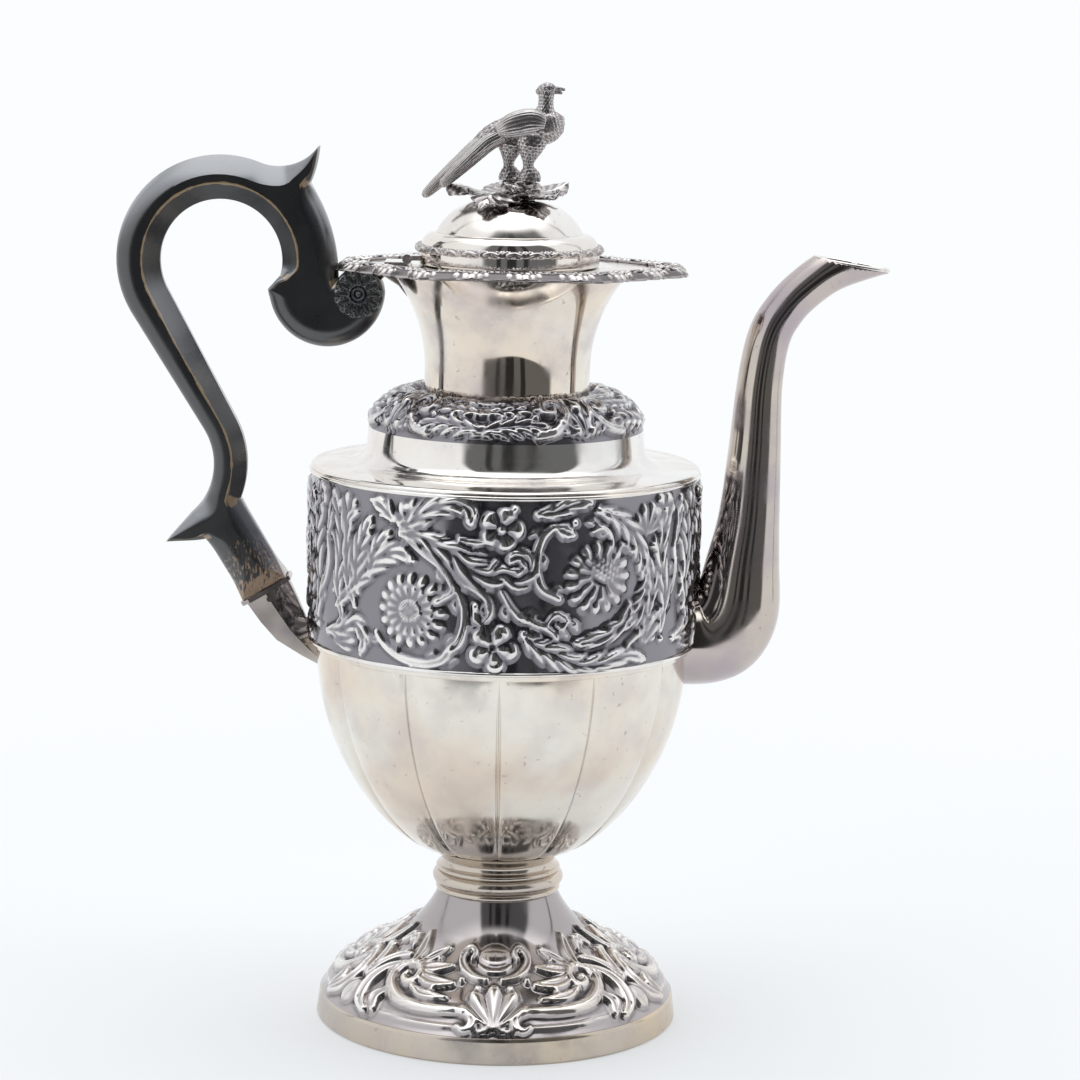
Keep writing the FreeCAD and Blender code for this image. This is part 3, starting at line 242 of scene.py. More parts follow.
def turnedFrom(x, y, centre, degrees):
    # How far points lie along and across an axis through the centre, turned from the horizontal by degrees.
    turn = math.radians(degrees)
    long = (x - centre[0]) * math.cos(turn) + (y - centre[1]) * math.sin(turn)
    wide = (y - centre[1]) * math.cos(turn) - (x - centre[0]) * math.sin(turn)
    return long, wide


def raiseTo(sheet, picked, height):
    sheet["height"][picked] = np.maximum(sheet["height"][picked], height)


def nearestOnCurve(x, y, curve):
    # Distance to a curve, the share of its length and the half width there.
    best = np.full(x.shape, 1e9)
    share = np.zeros_like(x)
    wide = np.zeros_like(x)
    count = len(curve) - 1
    for index in range(count):
        start, run = curve[index], curve[index + 1] - curve[index]
        step = ((x - start[0]) * run[0] + (y - start[1]) * run[1]) / (run[0] ** 2 + run[1] ** 2 + 1e-9)
        step = np.clip(step, 0, 1)
        gap = np.hypot(x - start[0] - run[0] * step, y - start[1] - run[1] * step)
        closer = gap < best
        best = np.where(closer, gap, best)
        share = np.where(closer, (index + step) / count, share)
        wide = np.where(closer, start[2] + run[2] * step, wide)
    return best, share, wide


def widened(points, widths):
    # Adds a half width to each point, spread evenly from the list of widths.
    shares = np.linspace(0, 1, len(points))
    return np.column_stack([points, np.interp(shares, np.linspace(0, 1, len(widths)), widths)])


def stampStem(sheet, points, widths, height, flutes=1):
    # A raised strap with grooves along it.
    curve = smoothCurve(widened(points, widths), 6)
    picked, x, y = pickCurve(sheet, curve, max(widths))
    gap, _, wide = nearestOnCurve(x, y, curve)
    crown = np.sqrt(np.clip(1 - (gap / wide) ** 2, 0, 1))
    raiseTo(sheet, picked, height * crown * (0.76 - 0.24 * np.cos(math.tau * flutes * gap / wide)))


def stampLeaf(sheet, points, widths, height, lobes, cut=0.5, sweep=1.5):
    # An acanthus leaf: notched edges, a rib down the middle and a fold that sweeps forward to every lobe.
    curve = smoothCurve(widened(points, widths), 6)
    picked, x, y = pickCurve(sheet, curve, max(widths))
    gap, share, wide = nearestOnCurve(x, y, curve)
    wide = np.maximum(wide, 0.05)
    tooth = np.abs(np.sin(math.pi * (share * lobes - sweep * gap / wide)))
    edge = wide * (1 - cut * (1 - tooth) ** 1.5)
    crown = np.sqrt(np.clip(1 - (gap / edge) ** 2, 0, 1))
    rib = 1 - 0.55 * np.exp(-(gap / (0.13 * wide + 0.12)) ** 2)
    raiseTo(sheet, picked, height * crown ** 0.8 * (0.58 + 0.42 * tooth ** 0.8) * rib)


def stampBead(sheet, centre, radius, height):
    picked, x, y = pickRound(sheet, centre, radius)
    gap = np.hypot(x - centre[0], y - centre[1]) / radius
    raiseTo(sheet, picked, height * np.sqrt(np.clip(1 - gap ** 2, 0, 1)))


def stampPod(sheet, centre, half, turn, height):
    # An oval boss, long side turned from the horizontal by degrees.
    picked, x, y = pickRound(sheet, centre, max(half))
    long, wide = turnedFrom(x, y, centre, turn)
    inside = 1 - (long / half[0]) ** 2 - (wide / half[1]) ** 2
    raiseTo(sheet, picked, height * np.sqrt(np.clip(inside, 0, 1)))


def stampPetals(sheet, centre, radius, count, height, inside=0.0, start=0.0, frill=0.22):
    # A ring of petals with a fold between neighbours.
    picked, x, y = pickRound(sheet, centre, radius)
    gap = np.hypot(x - centre[0], y - centre[1])
    fold = np.abs(np.cos(count / 2 * np.arctan2(y - centre[1], x - centre[0]) + start))
    edge = radius * (1 - frill + frill * fold ** 0.6)
    rise = np.clip((edge - gap) / (0.16 * radius), 0, 1) ** 0.6 * np.clip((gap - inside) / 0.6, 0, 1)
    raiseTo(sheet, picked, height * rise * (0.35 + 0.65 * fold ** 0.6) * (0.72 + 0.28 * gap / radius))


def stampSeeds(sheet, centre, half, turn, height, pips):
    # An oval cushion covered with rows of seeds, its long side turned from the horizontal by degrees.
    picked, x, y = pickRound(sheet, centre, max(half))
    long, wide = turnedFrom(x, y, centre, turn)
    crown = np.sqrt(np.clip(1 - (long / half[0]) ** 2 - (wide / half[1]) ** 2, 0, 1))
    row = np.round(wide / pips)
    gap = np.hypot((long / pips + 0.5 * (row % 2) + 0.5) % 1 - 0.5, wide / pips - row)
    raiseTo(sheet, picked, height * crown ** 0.5 * (0.62 + 0.38 * np.clip(1 - gap / 0.5, 0, 1) ** 0.5))


def stampFan(sheet, base, radius, spread, ribs, height, turn=90.0):
    # A palmette or shell: ribs that fan out from its base.
    picked, x, y = pickRound(sheet, base, radius)
    gap = np.hypot(x - base[0], y - base[1])
    angle = np.arctan2(y - base[1], x - base[0]) - math.radians(turn)
    angle = (angle + math.pi) % math.tau - math.pi
    half = math.radians(spread)
    rib = np.abs(np.cos(angle / half * math.pi / 2 * ribs))
    edge = radius * (0.82 + 0.18 * rib) * np.cos(np.clip(angle / half, -1, 1) * 0.9)
    rise = np.clip((edge - gap) / (0.15 * radius), 0, 1) ** 0.6 * (np.abs(angle) < half)
    raiseTo(sheet, picked, height * rise * (0.4 + 0.6 * rib) * (0.55 + 0.45 * gap / radius))


def stampSprigs(sheet, points, count, length, width, height):
    # Small leaves left and right along a stem.
    curve = smoothCurve(np.array(points, float), 6)
    for index in range(count):
        spot = int((index + 0.6) / count * (len(curve) - 2))
        run = curve[spot + 1] - curve[spot]
        side = 1 if index % 2 else -1
        heading = math.atan2(run[1], run[0]) + side * math.radians(52)
        root = curve[spot]
        bend = heading - side * math.radians(30)
        middle = root + 0.55 * length * np.array([math.cos(heading), math.sin(heading)])
        tip = middle + 0.45 * length * np.array([math.cos(bend), math.sin(bend)])
        stampLeaf(sheet, [root, middle, tip], (0.35 * width, width, 0.3 * width), height, 3, 0.3)


def blurred(mesh, values, rounds):
    # Each vertex takes the mean of itself and its neighbours, several times over.
    ends = np.empty(len(mesh.edges) * 2, dtype=np.int64)
    mesh.edges.foreach_get("vertices", ends)
    first, second = ends[0::2], ends[1::2]
    weight = 1 + np.bincount(ends, minlength=len(values))
    for _ in range(rounds):
        total = values + np.bincount(first, values[second], len(values))
        total += np.bincount(second, values[first], len(values))
        values = total / weight
    return values


def applySheet(mesh, sheet, outwards, depth, rounds=14):
    # Pushes each vertex out by its height. The layer relief is 0 in hollows, 0.5 on the ground, 1 on crests.
    height = blurred(mesh, sheet["height"], 1)
    movePlaces(mesh, places(mesh) + outwards * height[:, None])
    stand = height - blurred(mesh, height, rounds)
    writeLayer(mesh, "relief", np.clip(0.5 + 0.9 * stand / depth + 0.08 * height / depth, 0, 1))


def spunNormals(mesh, path):
    # Outward directions, running lengths and angles from the front of a spun surface.
    points = np.array([(point.x, point.y) for point in path])
    lengths = np.concatenate([[0], np.cumsum(np.hypot(*np.diff(points, axis=0).T))])
    slope = np.gradient(points, axis=0)
    slope /= np.hypot(slope[:, 0], slope[:, 1])[:, None]
    along = readLayer(mesh, "along")
    spots = places(mesh)
    angle = np.arctan2(spots[:, 0], -spots[:, 1])
    out = np.interp(along, lengths, slope[:, 1])
    up = -np.interp(along, lengths, slope[:, 0])
    outwards = np.column_stack([np.sin(angle) * out, -np.cos(angle) * out, up])
    return outwards * (along >= 0)[:, None], along, angle


# Materials

def connect(tree, value, socket):
    if isinstance(value, bpy.types.NodeSocket):
        tree.links.new(value, socket)
    else:
        socket.default_value = value


def mixColours(tree, factor, first, second):
    node = tree.nodes.new("ShaderNodeMix")
    node.data_type = "RGBA"
    connect(tree, factor, node.inputs[0])
    connect(tree, first, node.inputs[6])
    connect(tree, second, node.inputs[7])
    return node.outputs[2]


def spread(tree, value, low, high, toLow=0.0, toHigh=1.0):
    node = tree.nodes.new("ShaderNodeMapRange")
    node.interpolation_type = "SMOOTHSTEP"
    connect(tree, value, node.inputs[0])
    for socket, number in zip(node.inputs[1:5], (low, high, toLow, toHigh)):
        socket.default_value = number
    return node.outputs[0]


def calculate(tree, operation, first, second=0.0):
    node = tree.nodes.new("ShaderNodeMath")
    node.operation = operation
    connect(tree, first, node.inputs[0])
    connect(tree, second, node.inputs[1])
    return node.outputs[0]


def noiseField(tree, scale, detail=3.0, stretch=(1, 1, 1), turn=0.0):
    spot = tree.nodes.new("ShaderNodeTexCoord")
    mapping = tree.nodes.new("ShaderNodeMapping")
    mapping.inputs["Scale"].default_value = stretch
    mapping.inputs["Rotation"].default_value = (0, turn, 0)
    field = tree.nodes.new("ShaderNodeTexNoise")
    field.inputs["Scale"].default_value = scale
    field.inputs["Detail"].default_value = detail
    tree.links.new(spot.outputs["Object"], mapping.inputs["Vector"])
    tree.links.new(mapping.outputs["Vector"], field.inputs["Vector"])
    return field.outputs[0]


def layerValue(tree, name):
    node = tree.nodes.new("ShaderNodeAttribute")
    node.attribute_name = name
    return node.outputs["Fac"]


def bumpFrom(tree, height, strength, distance):
    node = tree.nodes.new("ShaderNodeBump")
    node.inputs["Strength"].default_value = strength
    node.inputs["Distance"].default_value = distance * mm
    tree.links.new(height, node.inputs["Height"])
    return node.outputs["Normal"]


def newMaterial(name, slot):
    material = bpy.data.materials.new(name)
    material["slot"] = slot
    material.use_nodes = True
    return material, material.node_tree, material.node_tree.nodes["Principled BSDF"]


def makeTarnishGroup():
    # Masks that every silver shares: broad clouds, a thin film, small specks and hand-raised unevenness.
    group = bpy.data.node_groups.new("tarnish", "ShaderNodeTree")
    fields = {"Cloud": spread(group, noiseField(group, 22), 0.38, 0.68),
              "Film": spread(group, noiseField(group, 70, 5), 0.35, 0.72),
              "Speck": spread(group, noiseField(group, 420, 2), 0.66, 0.78),
              "Planish": noiseField(group, 55, 1)}
    ends = group.nodes.new("NodeGroupOutput")
    for name, field in fields.items():
        group.interface.new_socket(name=name, in_out="OUTPUT", socket_type="NodeSocketFloat")
        group.links.new(field, ends.inputs[name])
    return group


silverLook = {
    "clean": (0.90, 0.885, 0.86, 1),
    "cream": (0.83, 0.795, 0.72, 1),
    "warm": (0.78, 0.66, 0.54, 1),
    "brass": (0.70, 0.58, 0.43, 1),
    "brown": (0.34, 0.26, 0.21, 1),
    "violet": (0.44, 0.38, 0.43, 1),
    "black": (0.11, 0.10, 0.10, 1),
    "ground": (0.27, 0.26, 0.285, 1),
    "dusk": (0.60, 0.54, 0.47, 1),
    "slate": (0.47, 0.43, 0.43, 1),
    "oxide": (0.05, 0.046, 0.05, 1),
}
# How strongly each sign of age shows, and where along the layer "relief" hollows and crests begin and end.
silverWear = {"speck": 0.5, "filmRough": 0.14, "dullRough": 0.16, "planish": 0.35, "planishDepth": 0.5,
              "hollow": (0.2, 0.48), "crest": (0.52, 0.74), "dull": (0.2, 0.45)}
tarnish = makeTarnishGroup()


def makeSilver(name, slot, tone, toning, rough, ground=None, base="clean", filmShare=0.45):
    # tone is the colour of the tarnish, toning how much of it there is, ground that of the chased ground.
    wear = silverWear
    material, tree, shader = newMaterial(name, slot)
    masks = tree.nodes.new("ShaderNodeGroup")
    masks.node_tree = tarnish
    cloud = calculate(tree, "MULTIPLY", masks.outputs["Cloud"], toning)
    colour = mixColours(tree, cloud, silverLook[base], silverLook[tone])
    film = calculate(tree, "MULTIPLY", masks.outputs["Film"], toning * filmShare)
    colour = mixColours(tree, film, colour, silverLook["violet"])
    speck = calculate(tree, "MULTIPLY", masks.outputs["Speck"], wear["speck"])
    colour = mixColours(tree, speck, colour, silverLook["brown"])
    roughness = spread(tree, masks.outputs["Film"], 0, 1, rough, rough + wear["filmRough"])
    if ground:
        crest = layerValue(tree, "relief")
        deep = spread(tree, crest, *wear["hollow"])
        hollow = mixColours(tree, deep, silverLook["oxide"], silverLook[ground])
        colour = mixColours(tree, spread(tree, crest, *wear["crest"]), hollow, colour)
        dulled = spread(tree, crest, *wear["dull"], wear["dullRough"], 0.0)
        roughness = calculate(tree, "ADD", roughness, dulled)
    connect(tree, colour, shader.inputs["Base Color"])
    connect(tree, roughness, shader.inputs["Roughness"])
    uneven = bumpFrom(tree, masks.outputs["Planish"], wear["planish"], wear["planishDepth"])
    connect(tree, uneven, shader.inputs["Normal"])
    shader.inputs["Metallic"].default_value = 1.0
    return material


woodLook = {
    "black": (0.006, 0.0065, 0.008, 1), "paintedSheen": (0.062, 0.082, 0.112, 1), "worn": (0.36, 0.25, 0.14, 1),
    "dry": (0.36, 0.24, 0.15, 1), "upward": (0.05, 0.55), "edge": (0.5, 0.66), "ragged": 1.1,
    "bare": (0.86, 1.02), "rubbing": 0.62, "grainTurn": -31.0, "rough": (0.24, 0.34), "coatRough": 0.2,
    "coatIor": 2.3, "ior": 2.0, "grain": 260, "patch": 60, "jag": 240, "fleck": 1500,
}


def makeWood():
    # Black, with a coat and a painted sheen (a lighter blue-grey base colour) where it looks up, worn along
    # its ridges and rubbed bare at the socket.
    look = woodLook
    material, tree, shader = newMaterial("ebonisedWood", "ebonised_wood")
    grain = noiseField(tree, look["grain"], 4, (1, 1, 0.12))
    patch = noiseField(tree, look["patch"], 3)
    normal = tree.nodes.new("ShaderNodeSeparateXYZ")
    tree.links.new(tree.nodes.new("ShaderNodeNewGeometry").outputs["Normal"], normal.inputs[0])
    upward = spread(tree, normal.outputs["Z"], *look["upward"])
    # Faces that look up get a lighter blue-grey base colour: painted sheen.
    colour = mixColours(tree, upward, look["black"], look["paintedSheen"])
    jagged = calculate(tree, "SUBTRACT", noiseField(tree, look["jag"], 2), 0.5)
    ragged = calculate(tree, "MULTIPLY", jagged, look["ragged"])
    edge = spread(tree, calculate(tree, "ADD", layerValue(tree, "wear"), ragged), *look["edge"])
    colour = mixColours(tree, edge, colour, look["worn"])
    fleck = noiseField(tree, look["fleck"], 3, (1, 1, 0.3), math.radians(look["grainTurn"]))
    rubbed = calculate(tree, "MULTIPLY", layerValue(tree, "rubbed"), look["rubbing"])
    bare = spread(tree, calculate(tree, "ADD", rubbed, fleck), *look["bare"])
    colour = mixColours(tree, bare, colour, look["dry"])
    connect(tree, colour, shader.inputs["Base Color"])
    connect(tree, spread(tree, patch, 0.3, 0.7, *look["rough"]), shader.inputs["Roughness"])
    connect(tree, bumpFrom(tree, grain, 0.15, 0.2), shader.inputs["Normal"])
    connect(tree, upward, shader.inputs["Coat Weight"])
    shader.inputs["Coat Roughness"].default_value = look["coatRough"]
    shader.inputs["Coat IOR"].default_value = look["coatIor"]
    shader.inputs["IOR"].default_value = look["ior"]
    return material


polished = makeSilver("polishedSilver", "polished_silver", "warm", 0.4, 0.07)
chased = makeSilver("chasedSilver", "chased_silver", "violet", 0.4, 0.1, "ground")
footSilver = makeSilver("footSilver", "chased_silver", "warm", 0.5, 0.09, "slate")
neckSilver = makeSilver("neckSilver", "polished_silver", "warm", 0.75, 0.05, base="cream", filmShare=0.6)
stemSilver = makeSilver("stemSilver", "polished_silver", "warm", 0.5, 0.08, base="dusk", filmShare=0.4)
bowlSilver = makeSilver("bowlSilver", "polished_silver", "warm", 0.9, 0.09, "ground", "cream", 0.25)
rimSilver = makeSilver("rimSilver", "polished_silver", "brass", 0.9, 0.16, base="dusk", filmShare=0.3)
socketSilver = makeSilver("socketSilver", "tarnished_silver", "black", 0.9, 0.1, base="dusk")
spoutSilver = makeSilver("spoutSilver", "tarnished_silver", "violet", 0.8, 0.09, base="dusk", filmShare=0.5)
castSilver = makeSilver("castSilver", "cast_silver", "brown", 0.4, 0.18, "slate")
birdSilver = makeSilver("birdSilver", "cast_silver", "brown", 0.45, 0.24, "slate")
wood = makeWood()
print("materials made")


# Foot, stem and seat

footLook = {
    "rimRadius": 62.0, "rimTaper": 1.0, "rimEase": 0.7, "rimBulge": 0.2, "rimWall": 1.8, "seat": 0.4,
    "swellRadius": 37.0, "swellHeight": 17.0, "swell": 1.6, "sweep": 2.0, "wall": 1.2, "copies": 3,
    "depth": 2.7, "around": 720, "spacing": 0.6, "middle": 47.0, "edgeFade": 1.2, "coneFrom": 38.0,
    "coneFade": 4.0, "coneReflectionTone": 0.42,
}
# Half of one third of the ornament, from the palmette outwards. Straps: route, half widths, height, flutes.
footStraps = {
    "curl": ([(9.6, 9.0), (6.8, 7.4), (5.8, 4.4), (7.8, 2.2), (9.8, 3.6)], (1.4, 1.7, 1.0), 0.9, 1),
    "volute": ([(8.4, 8.6), (10.4, 9.4), (14, 9.2), (19.1, 9.0), (25, 9.3), (30.5, 10.6), (35.8, 14.4),
                (38.6, 19.4), (37.2, 24.0), (33.0, 25.8), (28.9, 23.6), (28.2, 19.6), (30.8, 17.4),
                (33.6, 18.8), (33.0, 21.2)], (1.7, 2.5, 2.7, 2.3, 1.4), 1.0, 2),
    "finger1": ([(28.0, 21.0), (22.0, 19.4), (14.6, 19.8)], (2.0, 3.4, 1.6), 0.9, 1),
    "finger2": ([(29.0, 24.2), (24.0, 25.6), (17.6, 27.8)], (2.0, 3.5, 1.6), 0.9, 1),
    "finger3": ([(31.0, 26.4), (28.0, 30.6), (23.4, 35.4)], (2.0, 3.6, 1.6), 0.9, 1),
    "finger4": ([(35.0, 26.6), (36.6, 32.6), (40.0, 40.0)], (2.0, 3.2, 1.4), 0.9, 1),
    "finger5": ([(28.0, 16.0), (22.6, 13.9), (15.4, 13.8)], (1.4, 2.4, 1.1), 0.9, 1),
    "cupScroll": ([(3.0, 22.6), (8.4, 24.4), (13.0, 28.4), (15.0, 33.4), (12.6, 37.0), (9.4, 35.4),
                   (10.4, 32.4)],
                  (1.4, 2.3, 2.0, 1.2), 0.9, 1),
    "cupFoot": ([(-1.0, 26.6), (3.6, 27.2), (7.0, 29.6)], (1.3, 1.4, 0.8), 0.7, 1),
    "drape": ([(38.6, 24.0), (43.0, 20.0), (45.0, 13.4), (43.4, 6.6), (39.6, 3.0)], (1.8, 3.0, 3.2, 1.8),
              1.0, 1),
    "lowDrape": ([(36.0, 12.4), (38.4, 8.6), (36.6, 4.2)], (1.6, 3.0, 1.4), 0.8, 1),
    "outerDrape": ([(40.0, 29.0), (44.4, 26.6), (47.6, 22.0), (49.2, 15.6)], (1.6, 2.8, 2.0), 0.9, 1),
    "crest": ([(44.0, 33.0), (47.0, 36.6), (49.2, 35.0)], (1.4, 2.4, 1.8), 0.8, 1),
    "hem": ([(8.0, 3.6), (16.0, 3.2), (25.0, 3.4), (34.0, 4.2)], (0.8, 0.9, 0.9, 0.8), 0.35, 1),
}
footBeads = [(11.8, 22.0, 1.5), (20.8, 16.6, 1.3), (5.4, 18.8, 1.6), (43.6, 29.8, 1.4), (24.6, 30.0, 1.2)]


def makeFootRim():
    look = footLook
    top = nodeBox("foot_rim")[1].z
    radius, ease, bulge = look["rimRadius"], look["rimEase"], look["rimBulge"]
    upper = radius - look["rimTaper"]
    outer = profilePath([(radius - ease, 0), (radius, ease, bulge), (upper, top - ease),
                         (upper - ease, top, bulge)], 0.8)
    back = [Vector((upper - look["rimWall"], top)), Vector((radius - look["rimWall"], 0))]
    addSpun("footRim", outer, back, 240, 40, rimSilver, "foot_rim")


def footOrnament(sheet):
    depth = footLook["depth"]
    for points, widths, share, flutes in footStraps.values():
        stampStem(sheet, points, widths, depth * share, flutes)
    stampFan(sheet, (0, 2.6), 18.5, 64, 5, depth)
    stampLeaf(sheet, [(-1.0, 3.0), (2.6, 2.6), (5.4, 1.4)], (1.0, 1.8, 0.7), depth * 0.6, 2)
    stampPod(sheet, (0, 33.4), (8.6, 5.4), 0, depth * 0.75)
    stampPod(sheet, (49.2, 7.2), (3.8, 5.2), 0, depth * 0.9)
    for x, y, radius in footBeads:
        stampBead(sheet, (x, y), radius, depth * 0.75)


def makeFootDome():
    look = footLook
    low, high = nodeBox("foot_dome")
    wall, middle = look["wall"], look["middle"]
    corners = [(look["rimRadius"] - look["rimTaper"] - look["seat"], low.z),
               (look["swellRadius"], low.z + look["swellHeight"], look["swell"]),
               (stemLook["radius"], high.z, -look["sweep"])]
    outer = profilePath(corners, look["spacing"])
    back = [point - Vector((wall * 0.7, wall * 0.8)) for point in reversed(outer)]
    mesh = meshOf(spinOutline(outer, back[::3], look["around"]), "footDome", 60)
    outwards, along, angle = spunNormals(mesh, outer)
    sheet = newSheet(angle * middle, along, math.tau * middle / look["copies"], True)
    footOrnament(sheet)
    sheet["height"] *= np.clip(along / look["edgeFade"], 0, 1)
    applySheet(mesh, sheet, outwards, look["depth"])
    # The plain cone by the stem takes the darker ground colour instead of clean silver: a painted dark
    # reflection.
    plain = np.clip((along - look["coneFrom"]) / look["coneFade"], 0, 1)
    relief = readLayer(mesh, "relief")
    writeLayer(mesh, "relief", relief + (look["coneReflectionTone"] - relief) * plain)
    addPiece("footDome", mesh, footSilver, ["foot_dome"])


stemLook = {"radius": 20.5, "bore": 18.4, "beads": ((2.4, 0.9), (7.2, 2.0)), "topBead": 0.8,
            "waist": (19.5, 2.2), "ease": 0.3, "hollow": 1.1, "seatBore": 17.6, "seatTopBore": 20.0,
            "around": 180}


def makeStem():
    look = stemLook
    radius, bore = look["radius"], look["bore"]
    low, high = nodeBox("stem_ring")
    corners = [(radius, low.z)] + [(radius, low.z + up, bulge) for up, bulge in look["beads"]]
    outer = profilePath(corners + [(radius, high.z, look["topBead"])], 0.35)
    back = [Vector((bore, high.z)), Vector((bore, low.z))]
    addSpun("stemRing", outer, back, look["around"], 60, stemSilver, "stem_ring")
    low, high = nodeBox("bowl_seat")
    waist, up = look["waist"]
    outer = profilePath([(radius, low.z), (waist, low.z + up, -look["ease"]),
                         (bowlLook["bottomRadius"], high.z, -look["hollow"])], 0.4)
    back = [Vector((look["seatTopBore"], high.z)), Vector((look["seatBore"], low.z))]
    addSpun("bowlSeat", outer, back, look["around"], 60, stemSilver, "bowl_seat")


# Lobed bowl

bowlLook = {
    "lobes": 12, "crease": 1.8, "bottomRadius": 26.5, "topRadius": 63.4, "height": 69.5, "ledge": 2.0,
    "edgeRadius": 64.6, "wall": 1.2, "around": 720, "rows": 72, "fullness": 0.75, "groove": 0.7,
    "grooveHalf": 0.9, "topFade": 0.15, "plainTone": 0.9, "creaseShadeTone": 0.30, "creaseShadeHalf": 0.5,
}


def makeBowl():
    look = bowlLook
    low = nodeBox("bowl_seat")[1].z
    height, wall, rows = look["height"], look["wall"], look["rows"]
    bottom, widest, edge = look["bottomRadius"], look["topRadius"], look["edgeRadius"]
    outer = []
    for step in range(rows + 1):
        share = step / rows
        full = (1 - (1 - share) ** 2) ** look["fullness"]
        outer.append(Vector((bottom + (widest - bottom) * full, low + height * share)))
    top = low + height
    outer += [Vector((widest + 0.2, top + 0.2)), Vector((edge - 0.1, top + 0.5)),
              Vector((edge, top + look["ledge"]))]
    back = [Vector((point.x - wall, point.y + wall * 0.3)) for point in reversed(outer)]
    mesh = meshOf(spinOutline(outer, back[::4] + back[-1:], look["around"]), "bowl", 40)
    spots = places(mesh)
    share = np.clip((spots[:, 2] - low) / height, 0, 1)
    fade = look["topFade"]
    depth = look["crease"] * (0.4 + 0.6 * np.sin(math.pi * share))
    depth *= np.clip((top + fade - spots[:, 2]) / fade, 0, 1)
    pitch = math.tau / look["lobes"]
    angle = np.arctan2(spots[:, 1], spots[:, 0])
    across = np.abs((angle % pitch) / pitch * 2 - 1)
    radius = np.hypot(spots[:, 0], spots[:, 1])
    dip = depth * (0.5 * across ** 2.0 + 0.5 * across ** 12)
    fromCrease = (1 - across) * pitch / 2 * radius
    dip += look["groove"] * np.exp(-(fromCrease / look["grooveHalf"]) ** 2) * np.clip(depth, 0, 1)
    spots[:, :2] *= (1 - dip / radius)[:, None]
    movePlaces(mesh, spots)
    # A darker colour along each crease: painted shade.
    line = np.exp(-(fromCrease / look["creaseShadeHalf"]) ** 2) * np.clip(depth, 0, 1)
    writeLayer(mesh, "relief", look["plainTone"] - look["creaseShadeTone"] * line)
    addPiece("bowl", mesh, bowlSilver, ["bowl"])


# Drum with the chased frieze

bandLook = {
    "radius": 65.8, "wall": 1.2, "sink": 0.35, "copies": 3, "depth": 1.8, "leafSpread": 1.75,
    "stemSpread": 1.3, "sprigLength": 5.4, "sprigWidth": 1.7, "edgeFade": 1.6, "around": 820, "rows": 104,
    "wire": 0.9, "wireSeat": 0.4, "wireBack": 1.0,
}
# Stems and leaves as routes from the middle of the front and from the band's lower edge.
friezeStems = {
    "sunStalk": ([(-34.5, 48.1), (-30.9, 43.1), (-25.5, 39.2), (-19.8, 35.6), (-16.5, 31.0), (-15.6, 27.5),
                  (-18.9, 25.1)], (0.9, 1.3, 1.0)),
    "spiral": ([(-14.7, 28.9), (-12.2, 23.3), (-11.7, 17.1), (-13.3, 11.3), (-16.1, 8.5), (-19.3, 4.7),
                (-26.0, 3.1), (-34.0, 4.4), (-40.3, 7.7), (-43.7, 11.7)], (0.8, 1.5, 1.4, 0.8)),
    "fork": ([(-19.3, 39.6), (-12.9, 31.6), (-7.0, 27.9), (-3.9, 24.5), (-3.4, 20.5), (-5.2, 18.2)],
             (0.9, 1.2, 0.7)),
    "smallFork": ([(-8.3, 23.0), (-7.9, 19.0), (-5.2, 16.0), (-3.9, 13.0)], (0.8, 1.0, 0.6)),
    "poppyStalk": ([(17.0, 49.3), (13.3, 45.8), (11.2, 39.9), (11.2, 34.5), (13.3, 29.0), (18.9, 25.7)],
                   (0.9, 1.5, 1.0)),
    "hook": ([(35.0, 35.0), (37.6, 40.7), (36.6, 46.2), (33.4, 48.6), (30.5, 47.4)], (0.7, 0.8, 0.5)),
    "smallHook": ([(38.2, 39.3), (41.5, 42.2), (45.0, 40.1), (45.3, 38.7)], (0.6, 0.7, 0.4)),
    "shoot": ([(0.4, 28.1), (3.6, 22.7), (6.6, 19.6), (10.5, 18.2), (16.1, 15.4), (18.5, 12.6)],
              (0.8, 1.2, 0.8)),
    "flowerStalk": ([(-13.8, 44.8), (-8.3, 43.8), (-2.1, 44.9), (1.5, 46.7)], (0.7, 0.8, 0.7)),
    "sideStem": ([(67.4, 39.4), (68.3, 31.2), (64.1, 22.7), (57.2, 16.7), (44.4, 8.9)], (1.0, 1.4, 0.9)),
    "upright": ([(-65.6, 22.1), (-63.2, 30.4), (-64.8, 39.0), (-67.3, 41.3)], (0.8, 1.0, 0.6)),
    "volute": ([(14.6, 17.0), (18.0, 20.8), (21.6, 18.6), (20.2, 15.8), (18.4, 17.2)], (0.7, 0.8, 0.5)),
}
